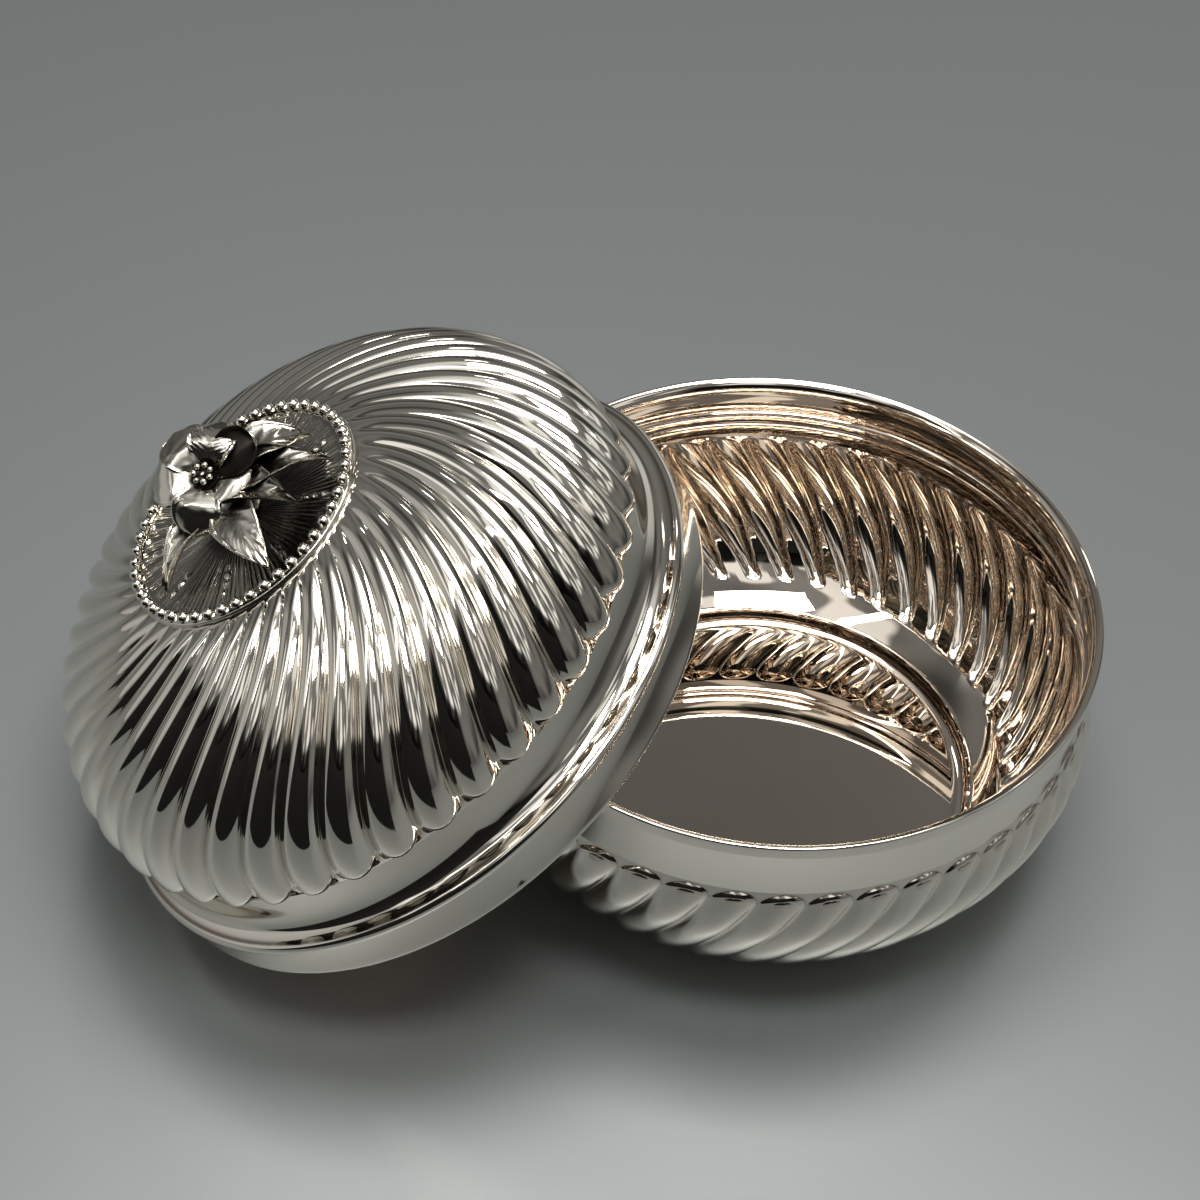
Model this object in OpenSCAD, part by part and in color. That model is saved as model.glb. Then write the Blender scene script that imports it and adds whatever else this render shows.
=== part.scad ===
// Covered silver trinket bowl: a swirl-fluted bowl, and a swirl-fluted cover with a cast flower finial.
// The cover is off: its skirt stands on the table and leans on the bowl's lip.
// Origin: the bowl's axis at table level. The cover leans towards -X.

/* [Bowl] */
// outer radius of the lip
lip_r = 60; // [56:0.5:66]
// height of the lip above the table
rim_height = 54; // [48:0.5:60]
// height of the plain lip ring
lip_height = 2.6; // [2:0.1:3.5]
// thickness of the lip ring, in to out
lip_width = 2; // [1.6:0.1:2.6]
// height of the plain band between lip and flutes
band_height = 11.4; // [9:0.2:14]
// how far the band stands in from the lip's outside
band_inset = 0.9; // [0.6:0.1:1.4]
// thickness of the raised sheet
bowl_wall_t = 1; // [0.8:0.05:1.3]
// how far the belly swells beyond the band
belly_swell = 2.2; // [1:0.1:4]
// how far the shoulder lies outside the flat floor
shoulder_run = 5.5; // [4.5:0.1:7]
// height of the shoulder's underside above the table
shoulder_height = 4.2; // [3.6:0.1:5]
// radius of the flat floor
floor_r = 38.5; // [35:0.5:41]
// thickness of the foot wire
foot_width = 2.2; // [1.6:0.1:3]
// height of the foot wire
foot_height = 2; // [1.5:0.1:2.4]

/* [Bowl flutes] */
// flutes round the bowl
bowl_flutes = 44; // [36:1:48]
// how far a lobe stands out of its grooves
bowl_flute_depth = 2; // [1.2:0.1:2.6]
// turn of a flute from top to bottom, degrees
bowl_swirl = 21; // [8:1:30]

/* [Cover] */
// clearance between the skirt and the lip, all round
skirt_clearance = 0.35; // [0.2:0.05:0.6]
// thickness of the skirt at its top
skirt_t = 0.8; // [0.6:0.05:1.2]
// height of the skirt
skirt_height = 9.2; // [7:0.2:11]
// how far the skirt flares at its edge
skirt_flare = 0.8; // [0.2:0.1:1.2]
// radius of the half-round moulding's section
moulding_r = 1.15; // [0.8:0.05:1.4]
// height of the plain cove under the lobes
cove_height = 9; // [7:0.2:11]
// how far the cove stands in from the skirt
cove_inset = 3.9; // [3:0.1:4.8]
// width of the ledge inside the cover that rests on the lip
ledge = 2.2; // [1.6:0.1:2.6]
// thickness of the raised sheet
cover_wall_t = 0.9; // [0.7:0.05:1.2]
// height of the dome above the cove
dome_height = 35; // [30:0.5:40]
// how far the dome bulges beyond the cove
dome_bulge = 2.8; // [1:0.2:4]
// radius of the dome's flat top edge
crown_r = 23.8; // [22:0.2:26]
// width of the flat flange that the plate is soldered to
crown_flange = 2.4; // [2:0.1:3]
// angle of the leaning cover, degrees
lean = 33.3; // [30:0.3:36]
// space left between the leaning cover and the lip
rest_gap = 0.2; // [0.1:0.05:0.3]

/* [Cover flutes] */
// flutes round the cover
cover_flutes = 42; // [36:1:48]
// how far a lobe stands out of its grooves
cover_flute_depth = 2.1; // [1.2:0.1:2.6]
// turn of a flute from crown to lobe, degrees
cover_swirl = 42; // [20:1:50]

/* [Finial] */
// thickness of the plate under the flower
plate_t = 0.9; // [0.7:0.1:1.3]
// beads in the border
bead_count = 48; // [36:1:50]
// radius of a bead
bead_r = 1.2; // [0.9:0.05:1.3]
// height of the stem between plate and flower
stem_height = 9.6; // [8:0.2:12]
// radius of the stem at its waist
stem_r = 1.9; // [1.6:0.1:2.6]
// how far the stem's foot spreads beyond its waist
stem_spread = 1.7; // [1:0.1:2.4]
// length of a petal
petal_length = 10.2; // [8:0.2:11.6]
// half width of a petal
petal_half = 4.3; // [3:0.1:4.8]
// thickness of a cast petal or leaf
casting_t = 0.8; // [0.6:0.05:1]
// space between the beads and the tip of a leaf
leaf_tip_gap = 2; // [1.2:0.1:4]
// half width of a leaf
leaf_half = 4.2; // [3:0.1:5]
// height of a leaf's root above the plate
leaf_height = 3.6; // [2.6:0.1:4.5]
// radius of the screw under the stem
stud_r = 1.5; // [1.2:0.1:2]
// running clearance round the screw
stud_clearance = 0.08; // [0.05:0.01:0.1]
// radius of the nut
nut_r = 3.2; // [2.6:0.1:4]
// thickness of the nut
nut_t = 2; // [1.6:0.1:3]
// radius of the washer
washer_r = 6; // [4.5:0.1:8]
// thickness of the washer
washer_t = 0.8; // [0.5:0.1:1.2]
// how far the screw reaches past the nut
screw_end = 1; // [0.5:0.1:2]

/* [Hidden] */
$fn = 160;
seam = 0.02;
silver = [0.86, 0.84, 0.80];
dark_silver = [0.55, 0.53, 0.50];
steps = 4;
bowl_rings = [0, 0.015, 0.05, 0.12, 0.27, 0.43, 0.60, 0.75, 0.88, 1];
dome_rings = [0, 0.03, 0.13, 0.26, 0.40, 0.55, 0.70, 0.83, 0.93, 0.975, 1];
inner_rings = [0, 0.2, 0.4, 0.6, 0.8, 0.93, 1];

band_r = lip_r - band_inset;
band_foot = rim_height - lip_height - band_height;
floor_underside = foot_height;
floor_top = foot_height + bowl_wall_t;
waist_r = band_r - 0.5;
shoulder_r = floor_r + shoulder_run;
belly_low = [shoulder_r + 0.9 * (waist_r - shoulder_r),
             shoulder_height + 0.3 * (band_foot - shoulder_height)];
bowl_curve = [[waist_r, band_foot], [waist_r + belly_swell * 1.2, band_foot * 0.75],
              belly_low, [shoulder_r, shoulder_height]];
foot_r = floor_r + 0.45 * shoulder_run;

skirt_in = lip_r + skirt_clearance;
skirt_r = skirt_in + skirt_t;
skirt_edge_r = skirt_r + skirt_flare;
cove_top = skirt_height + cove_height;
cove_r = skirt_r - cove_inset;
dome_top = cove_top + dome_height;
dome_curve = [[crown_r, dome_top], [crown_r + 0.55 * (cove_r - crown_r), dome_top - 0.14 * dome_height],
              [cove_r + dome_bulge, cove_top + 0.5 * dome_height], [cove_r, cove_top]];
plate_lap = 0.3;
plate_r = crown_r + plate_lap;
plate_top = dome_top + seam + plate_t;
strap_t = 0.35;
border_r = plate_r - bead_r - 0.1;
blade_root = 0.35 * stem_r;
leaf_length = border_r - bead_r - leaf_tip_gap - blade_root;
flower_base = plate_top + stem_height;
stamen_base = flower_base + 0.55;
stamen_ring_r = 0.8 * stem_r;
knob_r = 0.32 * stem_r;

rim_reach = (rim_height - skirt_edge_r * sin(lean)) / sin(lean);
rim_side = sqrt(pow(skirt_in, 2) - pow(rim_reach, 2));
rim_chord = sqrt(pow(lip_r, 2) - pow(rim_side, 2));
cover_x = -(rim_chord + rim_reach * cos(lean) + rest_gap);
cover_z = skirt_edge_r * sin(lean) + 0.05;

function bez(p, t) = p[0] * pow(1 - t, 3) + p[1] * 3 * t * pow(1 - t, 2)
    + p[2] * 3 * t * t * (1 - t) + p[3] * pow(t, 3);
function bez_dir(p, t) = (p[1] - p[0]) * pow(1 - t, 2) + (p[2] - p[1]) * 2 * t * (1 - t)
    + (p[3] - p[2]) * t * t;
function bez_out(p, t) = let (v = bez_dir(p, t) / norm(bez_dir(p, t))) [-v[1], v[0]];
function ease(t, a, b) = let (u = max(0, min(1, (t - a) / (b - a)))) u * u * (3 - 2 * u);
// rounded section of one flute: 0 in the groove, 1 on the crest; width is its share of the pitch
function lobe(k, n, width = 1) = pow(1 - pow(min(1, abs(2 * k / n - 1) / width), 2), 0.7);
function at(r, a, z) = [r * cos(a), r * sin(a), z];

// bowl: the lobes start under the band with a round end and taper to a point above the shoulder
function bowl_swell(t) = sqrt(ease(t, 0.01, 0.11)) * (1 - 0.35 * ease(t, 0.2, 0.75))
    * (1 - ease(t, 0.76, 0.9));
function bowl_taper(t) = 1 - 0.6 * ease(t, 0.55, 0.88);
function bowl_t(t, k) = t + 0.085 * (1 - lobe(k, steps)) * pow(1 - t, 2) * (t > 0 ? 1 : 0);
function bowl_point(t, j, inset) =
    let (k = j % steps, s = bowl_t(t, k), o = bez_out(bowl_curve, s), p = bez(bowl_curve, s),
         d = bowl_flute_depth * bowl_swell(t) * lobe(k, steps, bowl_taper(t)) - inset,
         q = (t == 0) ? [p[0] - inset, p[1]] : p + o * d)
    at(q[0], 360 * j / (steps * bowl_flutes) - bowl_swirl * pow(s, 1.25), q[1]);

// cover: narrow flutes at the crown widen to round lobes that hang over the cove
function dome_swell(t) = (0.3 + 0.7 * ease(t, 0, 0.6)) * ease(t, -0.02, 0.1) * sqrt(1 - ease(t, 0.9, 1));
function dome_t(t, k, n) = t - 0.07 * (1 - lobe(k, n)) * t * t * (t < 1 ? 1 : 0);
function dome_point(t, j, n, inset) =
    let (k = j % n, s = dome_t(t, k, n), o = bez_out(dome_curve, s), p = bez(dome_curve, s),
         d = cover_flute_depth * dome_swell(t) * lobe(k, n) - inset,
         q = (t == 0) ? [p[0] - inset * crown_flange / cover_wall_t, p[1]]
             : (t == 1) ? [p[0] - inset, p[1]] : p + o * d)
    at(q[0], 360 * j / (n * cover_flutes) + cover_swirl * pow(1 - s, 1.7), q[1]);

// triangles of a band of quads: rows a and b start at the given indexes and hold n points each
function strip(a, b, n) = [for (j = [0 : n - 1]) each
    let (k = (j + 1) % n) [[a + j, a + k, b + k], [a + j, b + k, b + j]]];
// the same between a row of 2n points and a row of n points
function half_strip(a, b, n) = [for (j = [0 : n - 1]) each
    let (k = (j + 1) % n, c = (2 * j + 2) % (2 * n))
    [[a + 2 * j, a + 2 * j + 1, b + j], [a + 2 * j + 1, a + c, b + k], [a + 2 * j + 1, b + k, b + j]]];
function flip(f) = [for (t = f) [t[0], t[2], t[1]]];

// a thin cast blade along +X: it arches to rise, ends at tip, and lifts its edges by cup and fold
module blade(length, half, rise, tip, cup, fold, teeth, broad) {
    nu = 7;
    nv = 4;
    row = nv + 1;
    n = (nu + 1) * row;
    top = [for (i = [0 : nu], j = [0 : nv])
        let (s = i / nu, v = 2 * j / nv - 1,
             w = half * (0.18 + 0.82 * pow(sin(168 * pow(s, broad)), 0.7)) * (1 - teeth * (i % 2)),
             z = rise * sin(180 * s) + tip * s * s + cup * v * v * s + fold * (abs(v) - 0.5) * s)
        [length * s, w * v, z]];
    low = [for (p = top) p - [0, 0, casting_t * (1 - 0.35 * p[0] / length)]];
    top_faces = [for (i = [0 : nu - 1], j = [0 : nv - 1]) each
        let (a = i * row + j) [[a, a + 1, a + row + 1], [a, a + row + 1, a + row]]];
    low_faces = [for (f = top_faces) [f[0] + n, f[2] + n, f[1] + n]];
    long_edges = [for (i = [0 : nu - 1]) each
        let (a = i * row, b = a + row, c = a + nv, d = b + nv)
        [[a, b, b + n], [a, b + n, a + n], [c, d + n, d], [c, c + n, d + n]]];
    end_edges = [for (j = [0 : nv - 1]) each
        let (a = j, b = j + 1, c = nu * row + j, d = c + 1)
        [[a, b + n, b], [a, a + n, b + n], [c, d, d + n], [c, d + n, c + n]]];
    polyhedron(concat(top, low), concat(top_faces, low_faces, long_edges, end_edges));
}

// puts the cover where it leans: lowest skirt point on the table, skirt edge on the lip
module leaning() {
    translate([cover_x, 0, cover_z])
        rotate([0, -lean, 0])
            children();
}

module lip_ring() {
    color(silver)
        rotate_extrude()
            translate([lip_r - lip_width, rim_height - lip_height])
                intersection() {
                    square([lip_width, lip_height]);
                    union() {
                        square([lip_width, lip_height - lip_width / 2]);
                        translate([lip_width / 2, lip_height - lip_width / 2])
                            circle(r = lip_width / 2);
                    }
                }
}

module bowl_band() {
    bead_z = rim_height - lip_height - 0.9;
    outside = [[waist_r, band_foot + seam], [waist_r, band_foot + band_height * 0.35],
               [band_r - 0.15, band_foot + band_height * 0.8], [band_r, rim_height - lip_height]];
    inside = [for (i = [3 : -1 : 0]) outside[i] - [bowl_wall_t, 0]];
    color(silver)
        rotate_extrude()
            difference() {
                polygon(concat(outside, inside));
                translate([band_r - bowl_wall_t - 0.1, bead_z])
                    circle(r = 0.25);
            }
}

module bowl_wall() {
    n = steps * bowl_flutes;
    m = len(bowl_rings);
    outer = [for (t = bowl_rings, j = [0 : n - 1]) bowl_point(t, j, 0)];
    inner = [for (t = bowl_rings, j = [0 : n - 1]) bowl_point(t, j, bowl_wall_t)];
    skin = [for (i = [0 : m - 2]) each strip(i * n, (i + 1) * n, n)];
    lining = [for (f = flip(skin)) f + [1, 1, 1] * (m * n)];
    top_edge = flip(strip(0, m * n, n));
    low_edge = strip((m - 1) * n, (2 * m - 1) * n, n);
    color(silver)
        polyhedron(concat(outer, inner), concat(skin, lining, top_edge, low_edge));
}

// the rounded shoulder, the step down and the flat floor, in one revolved section
module bowl_base() {
    along = bez_dir(bowl_curve, 1) / norm(bez_dir(bowl_curve, 1));
    edge = bowl_curve[3] + along * seam;
    inner_edge = edge - bez_out(bowl_curve, 1) * bowl_wall_t;
    step = [edge, [floor_r + 0.8 * shoulder_run, shoulder_height - 0.7],
            [floor_r + 0.6 * shoulder_run, floor_underside + 0.5], [foot_r, floor_underside]];
    rise = [[floor_r, floor_top], [floor_r + 0.45 * shoulder_run, floor_top],
            [floor_r + 0.52 * shoulder_run, inner_edge[1] + 0.2], inner_edge];
    under = [for (t = [1 : -0.125 : 0]) bez(step, t)];
    over = [for (t = [1 : -0.125 : 0]) bez(rise, t)];
    color(silver)
        rotate_extrude()
            polygon(concat([[0, floor_underside]], under, over, [[0, floor_top]]));
}

// a wire ring: flat where it is soldered, rounded where it stands
module foot_wire() {
    round_r = 0.4;
    color(silver)
        rotate_extrude()
            translate([foot_r - foot_width, 0]) {
                translate([0, round_r])
                    square([foot_width, foot_height - round_r]);
                translate([round_r, 0])
                    square([foot_width - 2 * round_r, foot_height]);
                for (x = [round_r, foot_width - round_r])
                    translate([x, round_r])
                        circle(r = round_r);
            }
}

module cover_skirt() {
    outside = [[skirt_edge_r, 0], [skirt_r + skirt_flare * 0.35, skirt_height * 0.3],
               [skirt_r, skirt_height * 0.65], [skirt_r, skirt_height]];
    color(silver)
        leaning()
            rotate_extrude()
                polygon(concat([[skirt_in, 0]], outside, [[skirt_in, skirt_height]]));
}

module cover_moulding() {
    color(silver)
        leaning()
            rotate_extrude()
                translate([skirt_r, skirt_height - moulding_r])
                    intersection() {
                        circle(r = moulding_r);
                        translate([0, -moulding_r])
                            square([moulding_r, 2 * moulding_r]);
                    }
}

module cover_cove() {
    sweep = [[skirt_r, skirt_height], [skirt_r - cove_inset * 0.75, skirt_height + cove_height * 0.18],
             [cove_r, skirt_height + cove_height * 0.5], [cove_r, cove_top - seam]];
    outer = [for (t = [0 : 0.125 : 1]) bez(sweep, t)];
    inner = [for (i = [len(outer) - 1 : -1 : 1]) outer[i] - [cover_wall_t, 0]];
    color(silver)
        leaning()
            rotate_extrude()
                polygon(concat([[skirt_r - ledge, skirt_height]], outer, inner));
}

module cover_dome() {
    n = steps * cover_flutes;
    h = n / 2;
    m = len(dome_rings);
    q = len(inner_rings);
    outer = [for (t = dome_rings, j = [0 : n - 1]) dome_point(t, j, steps, 0)];
    inner = [for (t = inner_rings, j = [0 : h - 1]) dome_point(t, j, 2, cover_wall_t)];
    skin = [for (i = [0 : m - 2]) each strip(i * n, (i + 1) * n, n)];
    inner_skin = [for (i = [0 : q - 2]) each flip(strip(i * h, (i + 1) * h, h))];
    lining = [for (f = inner_skin) f + [1, 1, 1] * (m * n)];
    top_edge = flip(half_strip(0, m * n, h));
    low_edge = half_strip((m - 1) * n, m * n + (q - 1) * h, h);
    color(silver)
        leaning()
            polyhedron(concat(outer, inner), concat(skin, lining, top_edge, low_edge));
}

module finial_plate() {
    color(dark_silver)
        leaning()
            translate([0, 0, dome_top + seam])
                difference() {
                    cylinder(r = plate_r, h = plate_t);
                    translate([0, 0, -1])
                        cylinder(r = stud_r + stud_clearance, h = plate_t + 2);
                }
}

module beaded_border() {
    color(silver)
        leaning()
            translate([0, 0, plate_top])
                intersection() {
                    union() {
                        rotate_extrude()
                            translate([border_r - bead_r * 0.8, 0])
                                square([bead_r * 1.6, strap_t]);
                        for (i = [0 : bead_count - 1])
                            rotate([0, 0, 360 * i / bead_count])
                                translate([border_r, 0, strap_t])
                                    sphere(r = bead_r, $fn = 16);
                    }
                    cylinder(r = plate_r + 5, h = 5);
                }
}

module finial_stem() {
    shank = plate_t + seam + washer_t + nut_t + screw_end;
    cup_r = stem_r * 1.6;
    foot = [[0, 0], [stem_r + stem_spread, 0], [stem_r + 0.75 * stem_spread, 0.12 * stem_height]];
    waist = [[stem_r, 0.35 * stem_height], [stem_r, 0.77 * stem_height]];
    cup = [[cup_r, 0.94 * stem_height], [cup_r * 0.93, 1.04 * stem_height], [0, 1.06 * stem_height]];
    color(dark_silver)
        leaning()
            translate([0, 0, plate_top]) {
                rotate_extrude($fn = 48)
                    polygon(concat(foot, waist, cup));
                translate([0, 0, -shank])
                    cylinder(r = stud_r, h = shank + 1, $fn = 48);
            }
}

// seven leaves of a spray: each has its own direction, length, width and arch
module leaves() {
    angles = [-138, -69, -36, -3, 22, 55, 150];
    stretch = [1, 1.06, 0.86, 1.06, 0.9, 1, 1];
    widen = [0.8, 1.05, 0.8, 0.8, 0.9, 1, 1];
    arch = [0.14, 0.17, 0.2, 0.15, 0.2, 0.13, 0.13];
    color(dark_silver)
        leaning()
            for (i = [0 : len(angles) - 1])
                rotate([0, 0, angles[i]])
                    translate([blade_root, 0, plate_top + leaf_height + 0.5 * (i % 2)])
                        blade(leaf_length * stretch[i], leaf_half * widen[i], leaf_length * arch[i],
                              -0.7 * leaf_height, 0.2 * leaf_half, 0.3 * leaf_half, 0.1, 0.8);
}

// six broad petals: the front ones cup upwards, the first one bends back
module petals() {
    angles = [-140, -76, -20, 42, 100, 160];
    tips = [-0.25, 0.12, 0.3, 0.24, 0.22, 0.2];
    cups = [-0.15, 0.1, 0.4, 0.3, 0.25, 0.2];
    color(silver)
        leaning()
            for (i = [0 : len(angles) - 1])
                rotate([0, 0, angles[i]])
                    translate([blade_root, 0, flower_base + 0.3 * (i % 2)])
                        blade(petal_length, petal_half, 0.16 * petal_length, tips[i] * petal_length,
                              cups[i] * petal_half, 0.05 * petal_half, 0, 1.3);
}

// a pistil and a ring of round stamens in the middle of the flower
module stamens() {
    pistil_h = 2.6 * knob_r;
    color(silver)
        leaning()
            translate([0, 0, stamen_base]) {
                cylinder(r1 = 0.9 * stamen_ring_r, r2 = 0.7 * stamen_ring_r, h = pistil_h, $fn = 32);
                for (i = [0 : 6])
                    rotate([0, 0, 360 * i / 7 + 10])
                        translate([stamen_ring_r, 0, pistil_h + 0.4 * knob_r])
                            sphere(r = knob_r, $fn = 16);
            }
}

module finial_washer() {
    color(silver)
        leaning()
            translate([0, 0, dome_top - washer_t])
                difference() {
                    cylinder(r = washer_r, h = washer_t + seam);
                    translate([0, 0, -1])
                        cylinder(r = stud_r + stud_clearance, h = washer_t + 2);
                }
}

module finial_nut() {
    color(silver)
        leaning()
            translate([0, 0, dome_top - washer_t - nut_t])
                difference() {
                    cylinder(r = nut_r, h = nut_t, $fn = 6);
                    translate([0, 0, -1])
                        cylinder(r = stud_r + stud_clearance, h = nut_t + 2);
                }
}

lip_ring();
bowl_band();
bowl_wall();
bowl_base();
foot_wire();
cover_skirt();
cover_moulding();
cover_cove();
cover_dome();
finial_plate();
beaded_border();
finial_stem();
leaves();
petals();
stamens();
finial_washer();
finial_nut();
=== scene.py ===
"""Dresses a covered, swirl-fluted silver trinket bowl: bowl, cover, cast flower finial and studio."""

import logging
import math
from dataclasses import dataclass
from enum import Enum
from typing import Callable, Sequence

import bmesh
import bpy
import numpy as np
from mathutils import Matrix, Vector
from mathutils.bvhtree import BVHTree


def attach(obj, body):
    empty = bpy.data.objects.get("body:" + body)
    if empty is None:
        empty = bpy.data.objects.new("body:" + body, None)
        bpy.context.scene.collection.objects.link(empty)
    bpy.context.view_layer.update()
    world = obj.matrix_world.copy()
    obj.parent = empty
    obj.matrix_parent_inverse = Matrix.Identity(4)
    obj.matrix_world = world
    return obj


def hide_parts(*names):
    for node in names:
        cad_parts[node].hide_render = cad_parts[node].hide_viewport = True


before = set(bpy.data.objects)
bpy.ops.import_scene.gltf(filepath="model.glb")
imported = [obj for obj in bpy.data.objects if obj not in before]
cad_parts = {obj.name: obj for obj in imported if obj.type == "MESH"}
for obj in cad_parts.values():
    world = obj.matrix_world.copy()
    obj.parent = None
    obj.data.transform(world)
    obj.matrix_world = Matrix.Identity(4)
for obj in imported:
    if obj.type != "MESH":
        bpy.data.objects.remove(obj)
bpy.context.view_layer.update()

LOG = logging.getLogger("trinket_bowl")
MM = 0.001
FULL_TURN = 2 * math.pi

Array = np.ndarray
Piece = bpy.types.Object
Material = bpy.types.Material
Colour = tuple[float, float, float]
Profile = Sequence[Sequence[float]]
Rule = Callable[[Array], Array]


class Slot(Enum):
    """Material slots of the part's record."""

    OUTSIDE = "silver_outside"
    INSIDE = "silver_inside"
    OXIDISED = "silver_oxidised"


# ---------------------------------------------------------------- node maths


def operator(operation: str, swapped: bool = False) -> Callable[..., "Value"]:
    """Makes a method of Value that adds one Math node.

    Args:
        operation: The node's operation.
        swapped: Whether the value comes after the other operand.

    Returns:
        The method.
    """

    def method(self: "Value", *others: "Value | float") -> "Value":
        """Adds the node to the value's graph."""
        return self.graph.maths(operation, *((*others, self) if swapped else (self, *others)))

    return method


class Value:
    """A node socket that takes part in Python arithmetic."""

    __add__ = __radd__ = operator("ADD")
    __sub__ = operator("SUBTRACT")
    __rsub__ = operator("SUBTRACT", swapped=True)
    __mul__ = __rmul__ = operator("MULTIPLY")
    __truediv__ = operator("DIVIDE")
    __pow__ = operator("POWER")
    absolute = operator("ABSOLUTE")
    fraction = operator("FRACT")
    sine = operator("SINE")
    cosine = operator("COSINE")
    at_most = operator("MINIMUM")
    at_least = operator("MAXIMUM")

    def __init__(self, graph: "Graph", socket: bpy.types.NodeSocket) -> None:
        """Wraps one output socket of a graph."""
        self.graph = graph
        self.socket = socket

    def between(self, low: float, high: float) -> "Value":
        """Smooth step from 0 at low to 1 at high."""
        return self.graph.result("ShaderNodeMapRange", {"Value": self, "From Min": low, "From Max": high}, "Result",
                                 interpolation_type="SMOOTHSTEP")


class Graph:
    """A node tree that is built from expressions."""

    def __init__(self, tree: bpy.types.NodeTree) -> None:
        """Starts on a tree and keeps its nodes."""
        self.tree = tree

    def node(self, kind: str, inputs: dict | None = None, **settings: object) -> bpy.types.Node:
        """Adds one node.

        Args:
            kind: The node's type name.
            inputs: Socket names or numbers with their values or links.
            settings: Properties that are set before the sockets.

        Returns:
            The new node.
        """
        made = self.tree.nodes.new(kind)
        for name, value in settings.items():
            setattr(made, name, value)
        for key, value in (inputs or {}).items():
            self.feed(made.inputs[key], value)
        return made

    def result(self, kind: str, inputs: dict | None = None, output: str | int = 0, **settings: object) -> Value:
        """Adds one node and wraps one of its outputs."""
        return Value(self, self.node(kind, inputs, **settings).outputs[output])

    def feed(self, socket: bpy.types.NodeSocket, value: object) -> None:
        """Links a wrapped value or a socket to a socket, or sets its default."""
        if isinstance(value, Value):
            value = value.socket
        if isinstance(value, bpy.types.NodeSocket):
            self.tree.links.new(value, socket)
        else:
            socket.default_value = value

    def maths(self, operation: str, *values: Value | float) -> Value:
        """Adds one Math node."""
        return self.result("ShaderNodeMath", dict(enumerate(values)), operation=operation)

    def vector(self, x: Value | float, y: Value | float, z: Value | float) -> Value:
        """Joins three values into a vector."""
        return self.result("ShaderNodeCombineXYZ", {"X": x, "Y": y, "Z": z})

    def parts(self, vector: Value) -> list[Value]:
        """Splits a vector into its three values."""
        return [Value(self, output) for output in self.node("ShaderNodeSeparateXYZ", {0: vector}).outputs]

    def vector_maths(self, operation: str, a: Value, b: object = None, scale: object = None) -> Value:
        """Adds one Vector Math node that gives a vector."""
        given = {key: value for key, value in ((0, a), (1, b), ("Scale", scale)) if value is not None}
        return self.result("ShaderNodeVectorMath", given, operation=operation)

    def colour_mix(self, share: Value | float, a: object, b: object, blend: str = "MIX") -> Value:
        """Mixes two colours, each a link or a plain colour."""
        a, b = ((*colour, 1.0) if isinstance(colour, tuple) else colour for colour in (a, b))
        return self.result("ShaderNodeMix", {0: share, 6: a, 7: b}, 2, data_type="RGBA", blend_type=blend)

    def noise(self, place: Value, scale: float, detail: float = 3.0, **others: float) -> Value:
        """Noise from 0 to 1."""
        return self.result("ShaderNodeTexNoise", {"Vector": place, "Scale": scale, "Detail": detail, **others}, "Fac")


# ---------------------------------------------------------------- finishes


class SurfaceGraph(Graph):
    """The node tree of one material, with its Principled BSDF ready to feed."""

    def __init__(self, name: str) -> None:
        """Makes the material."""
        self.material = bpy.data.materials.new(name)
        self.material.use_nodes = True
        super().__init__(self.material.node_tree)

    def attribute(self, name: str) -> Value:
        """Reads a float attribute of the mesh."""
        return self.result("ShaderNodeAttribute", None, "Fac", attribute_name=name)

    def place(self, turn: Sequence[float] = (0.0, 0.0, 0.0)) -> Value:
        """Object coordinates, turned by three angles in radians."""
        coordinates = self.result("ShaderNodeTexCoord", None, "Object")
        return self.result("ShaderNodeMapping", {"Vector": coordinates, "Rotation": tuple(turn)})

    def bump(self, height: Value, strength: float, distance: float, **others: Value) -> Value:
        """A Bump node on a height."""
        return self.result("ShaderNodeBump", {"Height": height, "Strength": strength, "Distance": distance, **others})

    def dress(self, colour: object, metallic: float, roughness: object, normal: Value | None = None) -> Material:
        """Feeds the shader and hands over the material."""
        shader = self.tree.nodes["Principled BSDF"]
        for name, value in (("Base Color", colour), ("Metallic", metallic), ("Roughness", roughness),
                            ("Normal", normal)):
            if value is not None:
                self.feed(shader.inputs[name], value)
        return self.material


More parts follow.
